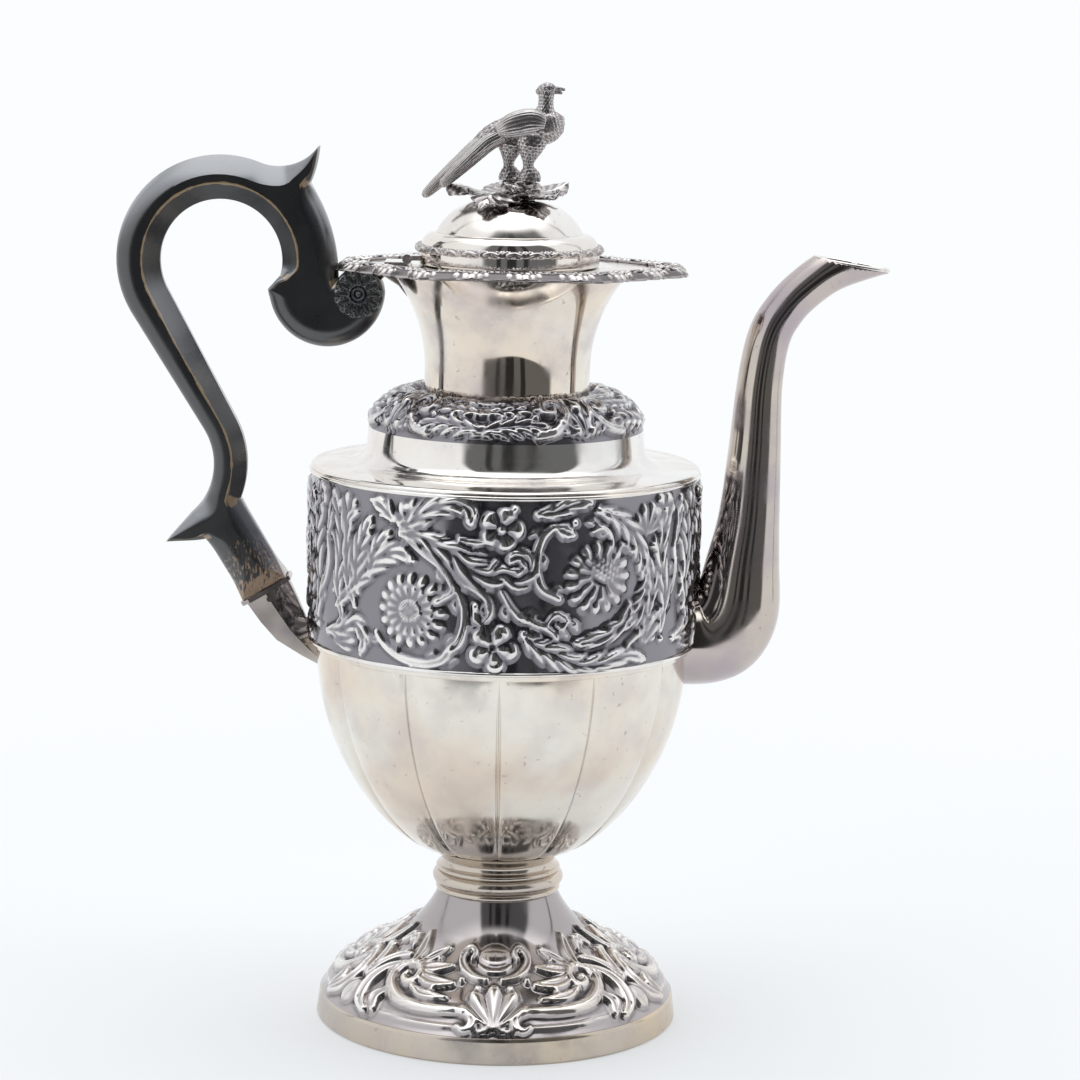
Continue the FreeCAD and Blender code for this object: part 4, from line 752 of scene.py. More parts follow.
friezeLeaves = {
    "stemLeaf": ([(-63.2, 17.6), (-54.6, 25.0), (-48.3, 31.5), (-41.4, 36.8), (-35.0, 38.8), (-29.9, 37.0)],
                 (1.0, 2.4, 2.8, 1.0), 5),
    "mainLeaf": ([(-34.0, 45.1), (-27.0, 44.8), (-21.2, 42.2), (-15.2, 39.9), (-10.6, 35.7), (-3.9, 33.0),
                  (0.8, 34.4), (5.4, 32.7), (8.6, 35.4), (7.7, 39.0), (4.5, 39.9), (3.1, 38.1)],
                 (1.2, 3.0, 3.0, 2.4, 1.0), 9),
    "curledLeaf": ([(-34.5, 48.1), (-30.4, 48.9), (-24.5, 53.4), (-16.5, 56.2), (-10.6, 54.7),
                    (-10.2, 50.3)],
                   (1.0, 2.2, 2.4, 0.9), 5),
    "backLeaf": ([(-37.1, 49.2), (-41.4, 53.1), (-46.0, 54.8)], (0.9, 2.2, 0.6), 2),
    "sideLeaf": ([(-53.3, 18.5), (-56.7, 26.9), (-57.4, 37.8), (-56.7, 46.8), (-52.7, 50.4)],
                 (0.8, 2.0, 1.8, 0.6), 5),
    "lowLeaf": ([(-70.0, 8.2), (-59.5, 10.1), (-52.7, 12.8), (-48.9, 8.0), (-50.8, 3.4)],
                (0.9, 2.6, 2.0, 0.7), 5),
    "topLeaf": ([(11.9, 53.5), (17.5, 54.3), (23.3, 56.4), (29.3, 56.6)], (0.9, 2.2, 0.8), 3),
    "bentLeaf": ([(32.6, 53.9), (38.7, 51.4), (45.0, 46.4), (49.3, 39.7), (50.8, 33.2), (51.2, 29.5)],
                 (0.9, 2.6, 2.2, 0.7), 6),
    "underLeaf": ([(45.0, 22.0), (42.1, 16.3), (36.0, 12.7), (28.2, 11.1), (24.8, 11.1)],
                  (0.9, 2.2, 1.6, 0.6), 4),
    "floorLeaf": ([(7.7, 14.1), (12.3, 10.0), (17.5, 7.7), (25.3, 3.8), (33.4, 3.4), (44.4, 5.3),
                   (52.5, 3.2)],
                  (0.9, 2.8, 2.4, 2.2, 0.8), 7),
    "twig": ([(68.3, 41.1), (71.1, 51.2)], (0.8, 1.6), 2),
    "leftTall": ([(-60.0, 14.0), (-62.6, 26.0), (-60.4, 38.0), (-62.4, 48.0), (-66.0, 55.0)],
                 (1.0, 2.4, 2.6, 0.9), 6),
    "leftMiddle": ([(-52.0, 24.0), (-52.4, 34.0), (-49.0, 43.0), (-46.4, 49.0)], (0.9, 2.4, 2.4, 0.8), 5),
    "leftInner": ([(-46.4, 30.0), (-43.8, 38.6), (-38.8, 45.0)], (0.9, 2.4, 0.9), 4),
    "rightTall": ([(60.0, 12.0), (61.8, 24.0), (59.0, 36.0), (61.0, 46.0), (65.0, 55.0)],
                  (1.0, 2.5, 2.6, 0.9), 6),
    "rightInner": ([(53.4, 18.0), (54.8, 28.0), (52.0, 38.0)], (0.9, 2.6, 0.9), 4),
    "ringLeaf": ([(51.6, 36.0), (52.0, 26.6), (48.0, 18.6), (41.0, 14.0)], (0.9, 2.2, 2.2, 0.8), 5),
    "twinLeaf": ([(17.0, 49.3), (21.3, 47.4), (23.3, 46.4)], (0.7, 1.6, 0.6), 2),
}
# Spread leaves: base, reach, half angle of the spread, fingers, heading.
friezeFans = {
    "crown": ((-31.0, 44.6), 12.5, 62, 5, 84),
    "corner": ((-66.0, 5.0), 15.0, 46, 5, 28),
    "left": ((-49.0, 29.0), 11.0, 60, 4, 118),
    "leftTop": ((-57.0, 46.5), 10.0, 64, 4, 96),
    "rightTop": ((52.0, 44.0), 12.0, 62, 5, 74),
    "right": ((60.0, 25.0), 12.0, 56, 4, 122),
    "rightLow": ((51.0, 8.0), 12.0, 52, 4, 62),
}
# Rings of petals: middle, radius, petals, height, hole, turn, frill.
friezePetals = [
    ((-30.2, 20.2), 12.8, 16, 0.85, 4.0, 0.0, 0.22), ((-30.2, 20.2), 9.6, 16, 1.0, 4.0, math.pi / 2, 0.22),
    ((-30.2, 20.2), 4.8, 22, 1.2, 0.2, 0.3, 0.1), ((32.9, 31.9), 12.4, 15, 0.85, 3.0, 0.0, 0.22),
    ((33.5, 32.9), 9.8, 13, 0.95, 3.0, 0.7, 0.22), ((0.0, 48.4), 7.4, 5, 0.95, 1.4, 0.0, 0.22),
    ((-2.4, 9.6), 8.6, 5, 0.9, 0.8, 0.4, 0.42), ((-2.4, 9.6), 5.4, 5, 1.0, 0.8, 0.4, 0.3),
    ((61.0, 52.0), 6.4, 6, 0.9, 1.2, 0.0, 0.22),
]
# Hearts of the flowers: middle, radius, height.
friezeHearts = [((-30.2, 20.2), 5.0, 0.9), ((0.0, 48.4), 1.9, 1.0), ((61.0, 52.0), 1.6, 1.0)]
friezeBeads = [(-16.1, 8.5), (-10.2, 50.3), (32.6, 53.9), (6.6, 19.6), (-8.3, 23.0), (-31.9, 54.1),
               (46.0, 40.0), (-46.8, 44.0), (55.4, 40.6), (59.0, 30.0), (4.0, 55.0), (-61.5, 51.5),
               (24.0, 50.2), (60.5, 9.0)]


def friezeOrnament(sheet):
    look, depth = bandLook, bandLook["depth"]
    for base, reach, halfAngle, fingers, heading in friezeFans.values():
        stampFan(sheet, base, reach, halfAngle, fingers, depth * 0.85, heading)
    for points, widths in friezeStems.values():
        sprigs = max(2, len(points) - 2)
        stampSprigs(sheet, points, sprigs, look["sprigLength"], look["sprigWidth"], depth * 0.6)
        stampStem(sheet, points, [wide * look["stemSpread"] for wide in widths], depth * 0.9)
    for points, widths, lobes in friezeLeaves.values():
        stampLeaf(sheet, points, [wide * look["leafSpread"] for wide in widths], depth, lobes)
    for middle, radius, petals, share, hole, turn, frill in friezePetals:
        stampPetals(sheet, middle, radius, petals, depth * share, hole, turn, frill)
    for middle, radius, share in friezeHearts + [(bead, 1.3, 0.95) for bead in friezeBeads]:
        stampBead(sheet, middle, radius, depth * share)
    stampSeeds(sheet, (34.6, 34.9), (7.2, 4.6), -34, depth * 1.25, 1.7)


def makeBand():
    look = bandLook
    low, high = nodeBox("frieze_band")
    radius, wall, tall = look["radius"], look["wall"], high.z - low.z
    rows = look["rows"]
    outer = [Vector((radius - look["sink"], low.z + tall * step / rows)) for step in range(rows + 1)]
    back = [Vector((radius - wall, high.z)), Vector((radius - wall, low.z))]
    mesh = meshOf(spinOutline(outer, back, look["around"]), "band", 60)
    outwards, along, angle = spunNormals(mesh, outer)
    sheet = newSheet(angle * radius, along, math.tau * radius / look["copies"])
    friezeOrnament(sheet)
    sheet["height"] *= np.clip(np.minimum(along, tall - along) / look["edgeFade"], 0, 1)
    applySheet(mesh, sheet, outwards, look["depth"])
    addPiece("friezeBand", mesh, chased, ["frieze_band"])
    seat, inside = radius - look["wireSeat"], radius - look["wireBack"]
    for name, node in (("lowerWire", "band_lower_wire"), ("upperWire", "band_upper_wire")):
        low, high = nodeBox(node)
        outer = profilePath([(seat, low.z), (seat, high.z, look["wire"])], 0.3)
        back = [Vector((inside, high.z)), Vector((inside, low.z))]
        addSpun(name, outer, back, 240, 50, polished, node)


# Shoulder, leaf collar and neck

neckLook = {
    "brim": ((-0.3, 0.0), (0.0, 0.5, 0.1), (-1.4, 1.5, 0.3), (-2.6, 1.2, -0.1)), "stepFoot": 53.2,
    "cove": 46.9, "step": 46.4, "footRise": 2.4, "coveRise": 9.0, "coveHollow": 2.0, "neck": 27.9,
    "neckTop": 41.0, "straight": 11.0, "flare": 3.4, "wall": 1.2, "neckWall": 1.1, "collarSwell": 4.2,
    "collarTurn": 0.17, "collarMiddle": 38.0, "collarFade": 1.5, "depth": 3.0, "around": 640,
}
# Half of one quarter of the leaf collar. Leaves: route, half widths, height, lobes. Beads: place and radius.
collarLeaves = [([(-2.0, 3.4), (6, 5.4), (13, 6.0), (20, 4.6)], (1.6, 4.0, 4.2, 1.6), 0.8, 5),
                ([(-2.0, 10.4), (6, 11.6), (13, 12.6), (19, 14.0)], (1.4, 3.4, 3.4, 1.2), 0.85, 5),
                ([(0.0, 16.6), (6, 17.4), (12, 18.6), (18, 19.6)], (1.2, 2.6, 2.4, 0.9), 0.8, 4)]
collarCurl = [(16.0, 2.6), (21.0, 4.4), (25.0, 9.0), (25.2, 14.0), (21.8, 16.8), (18.2, 14.6), (18.6, 11.2),
              (21.4, 10.8), (22.2, 13.0)]
collarBeads = [(15.6, 9.2, 1.4), (24.6, 18.6, 1.5), (27.4, 4.0, 1.5), (9.6, 9.0, 1.1), (16.6, 17.0, 1.2)]


def makeShoulder():
    look = neckLook
    top = nodeBox("shoulder")[1].z
    edge = nodeBox("frieze_band")[1].z
    radius, wall = bandLook["radius"], look["wall"]
    corners = [(radius + across, edge + up, *bulge) for across, up, *bulge in look["brim"]]
    corners += [(look["stepFoot"], edge + look["footRise"], 0.15),
                (look["cove"], edge + look["coveRise"], -look["coveHollow"]), (look["step"], top)]
    back = [Vector((look["step"] - wall, top)), Vector((look["cove"] - wall, edge + look["coveRise"] - 2.0)),
            Vector((look["stepFoot"] - wall, edge + look["footRise"] - 1.2)), Vector((radius - wall, edge))]
    addSpun("shoulder", profilePath(corners, 0.5), back, 240, 30, polished, "shoulder")


def collarOrnament(sheet, half):
    # Laurel from the middle of each side to a curled leaf at every corner.
    depth = neckLook["depth"]
    for points, widths, share, lobes in collarLeaves:
        stampLeaf(sheet, points, widths, depth * share, lobes)
    stampFan(sheet, (half, 1.4), 14.0, 74, 6, depth * 0.9, 90)
    stampStem(sheet, collarCurl, (2.0, 2.6, 2.4, 1.4), depth, 2)
    stampFan(sheet, (half, 21.0), 9.0, 70, 4, depth, -90)
    stampPod(sheet, (half, 12.6), (2.4, 3.4), 0, depth * 1.1)
    for x, y, radius in collarBeads:
        stampBead(sheet, (x, y), radius, depth * 0.8)


def makeCollar():
    look = neckLook
    low, high = nodeBox("leaf_collar")
    wall, middle = look["wall"], look["collarMiddle"]
    outer = profilePath([(look["step"], low.z), (look["neck"], high.z, look["collarSwell"])], 0.5)
    back = [point - Vector((wall * 0.6, wall)) for point in reversed(outer)]
    mesh = meshOf(spinOutline(outer, back[::4], look["around"]), "leafCollar", 60)
    outwards, along, angle = spunNormals(mesh, outer)
    quarter = math.tau * middle / 4
    sheet = newSheet((angle + look["collarTurn"]) * middle, along, quarter, True)
    collarOrnament(sheet, quarter / 2)
    sheet["height"] *= np.clip((along.max() - along) / look["collarFade"], 0, 1)
    applySheet(mesh, sheet, outwards, look["depth"])
    addPiece("leafCollar", mesh, chased, ["leaf_collar"])


def makeNeck():
    look = neckLook
    low, high = nodeBox("neck")
    outer = profilePath([(look["neck"], low.z), (look["neck"], low.z + look["straight"]),
                         (look["neckTop"], high.z, -look["flare"])], 0.9)
    back = [point - Vector((look["neckWall"], 0)) for point in reversed(outer)]
    addSpun("neck", outer, back, 240, 50, neckSilver, "neck")


# Mouth flange with its vine border

borderLook = {
    "halfLength": 57.0, "halfDepth": 41.4, "frontHalf": 29.0, "endHalf": 12.5, "cornerShare": 0.4,
    "shift": 1.0, "width": 9.0, "overhang": 0.7, "lobe": 1.2, "leafPitch": 7.2, "around": 1100,
    "across": 22, "depth": 1.0, "lift": 0.8, "sink": 0.55, "rimHalf": 0.9, "rimHeight": 0.55,
    "rollHeight": 0.3, "droop": 2.1, "roll": 2.2, "pierceBelow": 0.05, "thick": 0.7,
}


def octagonPath(inset, count):
    # Points evenly spread round the flange's eight sides, drawn in by inset.
    look = borderLook
    longHalf, deepHalf = look["halfLength"] - inset, look["halfDepth"] - inset
    front, end = (look[half] - inset * look["cornerShare"] for half in ("frontHalf", "endHalf"))
    quarter = [(longHalf, end), (front, deepHalf)]
    corners = quarter + [(-x, y) for x, y in quarter[::-1]]
    corners += [(-x, -y) for x, y in quarter] + [(x, -y) for x, y in quarter[::-1]]
    corners = np.array(corners + corners[:1])
    lengths = np.concatenate([[0], np.cumsum(np.hypot(*np.diff(corners, axis=0).T))])
    spots = np.linspace(0, lengths[-1], count, endpoint=False)
    around = np.column_stack([np.interp(spots, lengths, corners[:, axis]) for axis in (0, 1)])
    return around + (look["shift"], 0), spots, lengths[-1]


def vineOrnament(sheet, width, depth):
    # A waving stem with a leaf in every bend and berries between.
    pitch = sheet["pitch"]
    wave = [(-0.05 * pitch, 0.5 * width), (0.25 * pitch, 0.68 * width), (0.5 * pitch, 0.5 * width),
            (0.75 * pitch, 0.32 * width), (1.05 * pitch, 0.5 * width)]
    stampStem(sheet, wave, (0.45, 0.45), depth * 0.9)
    stampPetals(sheet, (0.25 * pitch, 0.26 * width), 0.27 * width, 5, depth, 0.3, 0.4, 0.3)
    stampPetals(sheet, (0.75 * pitch, 0.74 * width), 0.27 * width, 5, depth, 0.3, 0.4, 0.3)
    for x, y in ((0.02, 0.18), (0.5, 0.84), (0.44, 0.14), (0.95, 0.86), (0.06, 0.82), (0.56, 0.2)):
        stampBead(sheet, (x * pitch, y * width), 0.09 * width, depth * 0.9)


def makeBorder():
    # An eight-sided strip, grown outwards ring by ring, then raised, rolled over at its rim and pierced.
    look = borderLook
    top = nodeBox("flange_border")[1].z
    inner, running, length = octagonPath(look["width"], look["around"])
    outerEdge, _, _ = octagonPath(-look["overhang"], look["around"])
    copies = round(length / look["leafPitch"] / 2)
    lobe = np.abs(np.sin(running / length * math.pi * copies * 2)) ** 0.7 * look["lobe"]
    reach = outerEdge - inner
    outerEdge = outerEdge + reach / np.hypot(reach[:, 0], reach[:, 1])[:, None] * lobe[:, None]
    bm = bmesh.new()
    turn, up = layerOf(bm, "turn"), layerOf(bm, "up")
    ring = [bm.verts.new((x * mm, y * mm, top * mm)) for x, y in inner]
    for index, vert in enumerate(ring):
        vert[turn] = index
    edges = [bm.edges.new(pair) for pair in zip(ring, ring[1:] + ring[:1])]
    for step in range(1, look["across"] + 1):
        share = step / look["across"]
        grown = bmesh.ops.extrude_edge_only(bm, edges=edges)["geom"]
        ring = {item for item in grown if isinstance(item, bmesh.types.BMVert)}
        grownEdges = [item for item in grown if isinstance(item, bmesh.types.BMEdge)]
        edges = [edge for edge in grownEdges if ring.issuperset(edge.verts)]
        for vert in ring:
            index = round(vert[turn])
            place = inner[index] + (outerEdge[index] - inner[index]) * share
            vert.co = (place[0] * mm, place[1] * mm, top * mm)
            vert[up] = share * look["width"]
    mesh = meshOf(bm, "flangeBorder", 60)
    running = readLayer(mesh, "turn") * length / look["around"]
    sheet = newSheet(running, readLayer(mesh, "up"), length / copies)
    vineOrnament(sheet, look["width"], look["depth"])
    fromRim = look["width"] - sheet["up"]
    rims = np.clip(1 - np.minimum(sheet["up"], fromRim) / look["rimHalf"], 0, 1)
    raised = np.maximum(sheet["height"], look["rimHeight"] * look["depth"] * rims)
    raised = np.maximum(raised, look["rollHeight"] * look["depth"] * (fromRim < look["roll"]))
    rolled = np.clip(1 - fromRim / look["roll"], 0, 1)
    spots = places(mesh)
    spots[:, 2] += raised * look["lift"] - look["sink"] - look["droop"] * rolled ** 1.4
    movePlaces(mesh, spots)
    writeLayer(mesh, "relief", np.clip(raised / look["depth"], 0, 1))
    bm = bmesh.new()
    bm.from_mesh(mesh)
    relief = bm.verts.layers.float["relief"]
    pierced = [face for face in bm.faces if max(vert[relief] for vert in face.verts) < look["pierceBelow"]]
    bmesh.ops.delete(bm, geom=pierced, context="FACES")
    loose = [vert for vert in bm.verts if not vert.link_faces]
    bmesh.ops.delete(bm, geom=loose, context="VERTS")
    bm.to_mesh(mesh)
    bm.free()
    thicken(addPiece("flangeBorder", mesh, castSilver, ["flange_border"]), look["thick"])


# Lid

lidLook = {"radius": 30.2, "footEase": 0.25, "stripSwell": 1.1, "cushionIn": 0.6, "cushionTop": 24.6,
           "cushion": 1.3, "dome": 3.3, "crown": 6.4, "bore": 1.8, "wall": 1.2, "leaves": 26, "depth": 0.8,
           "around": 200, "stripAround": 780}


def makeLid():
    look = lidLook
    radius, wall, around = look["radius"], look["wall"], look["around"]
    low, high = nodeBox("lid_wall")
    ease = look["footEase"]
    outer = profilePath([(radius - ease, low.z), (radius, low.z + ease, 0.05), (radius, high.z)], 0.5)
    back = [Vector((radius - wall, high.z)), Vector((radius - wall, low.z))]
    addSpun("lidWall", outer, back, around, 50, polished, "lid_wall", "lid")
    low, high = nodeBox("lid_strip")
    outer = profilePath([(radius, low.z), (radius, high.z, look["stripSwell"])], 0.17)
    back = [Vector((radius - wall, high.z)), Vector((radius - wall, low.z))]
    mesh = meshOf(spinOutline(outer, back, look["stripAround"]), "lidStrip", 70)
    outwards, along, angle = spunNormals(mesh, outer)
    sheet = newSheet(angle * radius, along, math.tau * radius / look["leaves"])
    vineOrnament(sheet, max(along), look["depth"])
    applySheet(mesh, sheet, outwards, look["depth"])
    addPiece("lidStrip", mesh, castSilver, ["lid_strip"], "lid")
    low, high = nodeBox("lid_cushion")
    edge, top = radius - look["cushionIn"], look["cushionTop"]
    outer = profilePath([(edge, low.z), (top, high.z, look["cushion"])], 0.4)
    back = [Vector((top - wall, high.z - wall)), Vector((edge - wall, low.z))]
    addSpun("lidCushion", outer, back, around, 60, polished, "lid_cushion", "lid")
    low, high = nodeBox("lid_dome")
    outer = profilePath([(top, low.z), (look["crown"], high.z, look["dome"]), (look["bore"], high.z)], 0.5)
    back = [point - Vector((0, wall)) for point in reversed(outer)]
    addSpun("lidDome", outer, back, around, 60, polished, "lid_dome", "lid")


# Finial: leaves, rock and pheasant

finialLook = {"stalk": 3.0, "reach": 22.0, "halfWidth": 8.6, "thick": 0.8, "tilt": 12.0, "rise": 0.9,
              "vein": 0.35, "turn": 116.0, "droop": (6.0, 2.0, 1.0, 2.0, 2.0), "along": 44, "across": 30}


def makeLeaves():
    look = finialLook
    base = nodeBox("finial_leaves")[0].z
    bm = bmesh.new()
    relief = layerOf(bm, "relief")
    slope = math.tan(math.radians(look["tilt"]))
    for index, droop in enumerate(look["droop"]):
        turn = math.tau * index / len(look["droop"]) - math.radians(look["turn"])
        made = bmesh.ops.create_grid(bm, x_segments=look["along"], y_segments=look["across"], size=0.5)
        for vert in made["verts"]:
            share, side = vert.co.x + 0.5, vert.co.y * 2
            lobes = 0.60 + 0.40 * abs(math.sin(share * math.pi * 3.0 + 0.5)) ** 0.7
            wide = look["halfWidth"] * lobes * math.sin(math.pi * min(1, 0.10 + 0.88 * share)) ** 0.55
            along = look["stalk"] + (look["reach"] - look["stalk"]) * share - abs(side) ** 2 * 1.5
            vein = math.exp(-(side / 0.10) ** 2)
            vein += 0.6 * abs(math.sin((share - abs(side) * 0.35) * math.pi * 6)) ** 6
            rise = along * slope - droop * share ** 2.2
            ripple = 1.5 * math.sin(share * 5 + side * 2 + index) * share
            rise += ripple - 0.8 * side ** 2 + look["vein"] * vein
            vert[relief] = min(1, 0.35 + 0.5 * vein)
            vert.co = (along * mm, side * wide * mm, (base + look["rise"] + rise) * mm)
        bmesh.ops.rotate(bm, verts=made["verts"], cent=(0, 0, 0), matrix=Matrix.Rotation(turn, 3, "Z"))
    mesh = meshOf(bm, "finialLeaves", 70)
    thicken(addPiece("finialLeaves", mesh, castSilver, ["finial_leaves"], "lid"), look["thick"])


rockLook = {"halfLength": 6.6, "halfWidth": 5.6, "heightShare": 0.56, "lumps": ((2.3, 0.22), (5.5, 0.10))}


def makeRock():
    look = rockLook
    low, high = nodeBox("finial_rock")
    centre = (low + high) / 2
    bm = bmesh.new()
    relief = layerOf(bm, "relief")
    bmesh.ops.create_icosphere(bm, subdivisions=5, radius=1.0)
    for vert in bm.verts:
        spot = vert.co.copy()
        lump = sum(noise.noise(spot * size) * share for size, share in look["lumps"])
        vert[relief] = min(1, max(0, 0.5 + lump * 2))
        vert.co = spot * (1 + lump)
        vert.co.x = (centre.x + vert.co.x * look["halfLength"]) * mm
        vert.co.y = (centre.y + vert.co.y * look["halfWidth"]) * mm
        vert.co.z = (centre.z + vert.co.z * (high.z - low.z) * look["heightShare"]) * mm
    addPiece("finialRock", meshOf(bm, "finialRock", 80), castSilver, ["finial_rock"], "lid")


# Every route of the bird: along X, up from the rock, half width, half height.
birdLook = {
    "around": 72, "scale": 1.15, "scallops": 8, "scaleDepth": 0.34, "barbs": 11,
    "legs": ((-0.8, 2.3), (5.8, -2.3)), "toeSplay": (-0.45, 0.0, 0.45), "wingSide": 4.2, "wingLean": 0.02,
    "tailFeathers": ((1.0, 0.0, 0.0), (0.8, 1.4, 0.03), (0.8, -1.4, -0.03)), "tailRoot": 15.4,
    "trunk": [(-13.0, 8.6, 2.0, 2.4), (-7.2, 13.6, 2.9, 3.3), (-3.2, 15.5, 3.8, 3.8), (2.6, 16.6, 5.0, 5.0),
              (7.0, 16.9, 5.5, 5.7), (11.2, 17.3, 5.0, 5.8), (14.6, 18.2, 3.6, 4.4), (16.6, 18.8, 1.8, 2.5),
              (17.4, 18.9, 0.6, 0.8)],
    "neck": [(9.2, 17.0, 3.4, 5.2), (10.6, 20.4, 3.3, 4.4), (11.1, 23.3, 2.6, 2.7), (11.2, 25.8, 2.1, 2.3),
             (11.3, 28.0, 2.1, 2.4), (11.5, 29.4, 1.4, 1.7), (11.6, 30.0, 0.5, 0.6)],
    "head": [(8.0, 28.3, 0.4, 0.4), (9.4, 29.1, 1.4, 1.3), (11.4, 29.8, 2.1, 1.8), (13.2, 29.5, 1.6, 1.5),
             (14.2, 29.2, 0.8, 0.8)],
    "beak": [(13.2, 29.6, 1.0, 0.8), (15.4, 29.7, 0.7, 0.5), (17.4, 29.5, 0.2, 0.2)],
    "jaw": [(13.2, 28.8, 0.8, 0.6), (15.0, 28.6, 0.6, 0.4), (16.5, 28.3, 0.2, 0.2)],
    "eye": (12.8, 30.0, 1.6, 0.45),
    "thigh": [(1.8, 17.0, 1.4, 2.6), (1.2, 14.4, 2.5, 4.4), (0.8, 12.0, 3.0, 4.9), (0.5, 9.8, 2.7, 4.0),
              (0.2, 7.6, 2.0, 2.8), (0.0, 5.6, 1.5, 1.8), (0.0, 3.9, 1.4, 1.6), (0.2, 2.2, 2.0, 2.8),
              (0.4, 0.6, 2.4, 3.6), (0.4, -0.8, 2.2, 3.4)],
    "toe": [(0.0, 0.6, 0.8, 0.8), (2.0, 0.3, 0.7, 0.6), (3.6, -0.6, 0.3, 0.3)],
    "wing": [(11.0, 18.2, 1.2, 2.0), (8.0, 18.7, 1.9, 3.8), (3.0, 18.0, 1.9, 4.2), (-1.5, 16.6, 1.5, 3.4),
             (-4.6, 15.4, 0.6, 1.4)],
    "tail": [(-4.0, 14.8, 2.4, 2.6), (-10.0, 11.2, 2.5, 2.7), (-17.0, 4.8, 2.2, 2.4),
             (-24.0, -1.8, 1.6, 1.9), (-28.0, -5.6, 1.0, 1.3), (-29.2, -6.6, 0.3, 0.4)],
}


def ringBody(bm, route, rock, side=0.0, count=7, lean=0.0):
    # A closed body of oval rings along a route, with its length and turn kept for the feathers.
    along, turn = layerOf(bm, "along"), layerOf(bm, "turn")
    curve = smoothCurve(route, count)
    lengths = np.concatenate([[0], np.cumsum(np.hypot(*np.diff(curve[:, :2], axis=0).T))])
    rings = []
    for (x, z, wide, high), heading, length in zip(curve, headingsOf(curve), lengths):
        ring = []
        for index in range(birdLook["around"]):
            angle = math.tau * index / birdLook["around"]
            over = math.sin(angle) * max(high, 0.1)
            aside = side + math.cos(angle) * max(wide, 0.1) + lean * length
            vert = bm.verts.new(sectionPlace(x, rock + z, heading, over, aside))
            vert[along] = length
            vert[turn] = angle
            ring.append(vert)
        rings.append(ring)
    loops = skinRings(bm, rings)
    bmesh.ops.holes_fill(bm, edges=loops[0] + loops[-1])
    return bm


def featherMesh(bm, name, kind):
    # Overlapping scales on the body, long barbs on wings and tail.
    mesh = meshOf(bm, name, 80)
    along, turn = readLayer(mesh, "along"), readLayer(mesh, "turn")
    depth = birdLook["scaleDepth"]
    if kind == "scales":
        row = along / birdLook["scale"]
        scallop = np.abs(np.sin(turn * birdLook["scallops"] + np.floor(row) * math.pi / 2))
        step = (row + 0.45 * scallop) % 1.0
        height = depth * step * (0.6 + 0.4 * scallop)
    else:
        waved = turn * birdLook["barbs"] + 0.25 * np.sin(along * 0.9)
        height = depth * 0.8 * np.abs(np.sin(waved)) ** 0.7
    normals = np.empty(len(mesh.vertices) * 3)
    mesh.vertices.foreach_get("normal", normals)
    movePlaces(mesh, places(mesh) + normals.reshape(-1, 3) * height[:, None])
    writeLayer(mesh, "relief", np.clip(0.22 + 0.62 * height / depth, 0, 1))
    return mesh


def makeBird():
    look = birdLook
    rock = nodeBox("finial_rock")[1].z
    nodes = ["pheasant"]
    trunk = ringBody(bmesh.new(), look["trunk"], rock, count=9)
    addPiece("birdTrunk", featherMesh(trunk, "birdTrunk", "scales"), birdSilver, nodes, "lid")
    neck = ringBody(bmesh.new(), look["neck"], rock, count=9)
    addPiece("birdNeck", featherMesh(neck, "birdNeck", "scales"), birdSilver, nodes, "lid")
    rest = bmesh.new()
    for part in ("head", "beak", "jaw"):
        ringBody(rest, look[part], rock)
    across, up, aside, size = look["eye"]
    for side in (-aside, aside):
        place = Matrix.Translation(Vector((across, side, rock + up)) * mm)
        bmesh.ops.create_icosphere(rest, subdivisions=3, radius=size * mm, matrix=place)
    for ahead, side in look["legs"]:
        route = [(x + ahead, z, wide, high) for x, z, wide, high in look["thigh"]]
        ringBody(rest, route, rock, side)
        for splay in look["toeSplay"]:
            route = [(x + ahead + 0.2, z, wide, high) for x, z, wide, high in look["toe"]]
            ringBody(rest, route, rock, side, lean=splay)
    addPiece("birdLegs", featherMesh(rest, "birdLegs", "scales"), birdSilver, nodes, "lid")
    wings = bmesh.new()
    for side in (-1, 1):
        ringBody(wings, look["wing"], rock, side * look["wingSide"], 10, -side * look["wingLean"])
    addPiece("birdWings", featherMesh(wings, "birdWings", "barbs"), birdSilver, nodes, "lid")
    tail = bmesh.new()
    root = look["tailRoot"]
    for share, side, lean in look["tailFeathers"]:
        route = [(x * share, root + (z - root) * share - abs(side) * 0.5, wide, high)
                 for x, z, wide, high in look["tail"]]
        ringBody(tail, route, rock, side, 16, lean)
    addPiece("birdTail", featherMesh(tail, "birdTail", "barbs"), birdSilver, nodes, "lid")


# Swan spout

spoutLook = {
    "around": 56, "wall": 0.9, "lip": 0.75,
    "stations": [(-5.6, 1.0, 14.6), (4.0, 1.6, 14.6), (10.0, 5.0, 14.6), (13.8, 13.0, 13.8),
                 (15.4, 27.0, 11.8), (17.1, 43.0, 9.6), (18.3, 65.0, 8.1), (19.4, 89.0, 6.8),
                 (22.0, 105.0, 6.4), (26.9, 114.4, 6.2), (33.4, 121.5, 6.2), (42.2, 128.0, 6.3),
                 (53.6, 132.6, 6.4), (64.0, 135.6, 6.4)],
    "mouth": ((38.2, 131.8), (63.8, 127.8)),
}


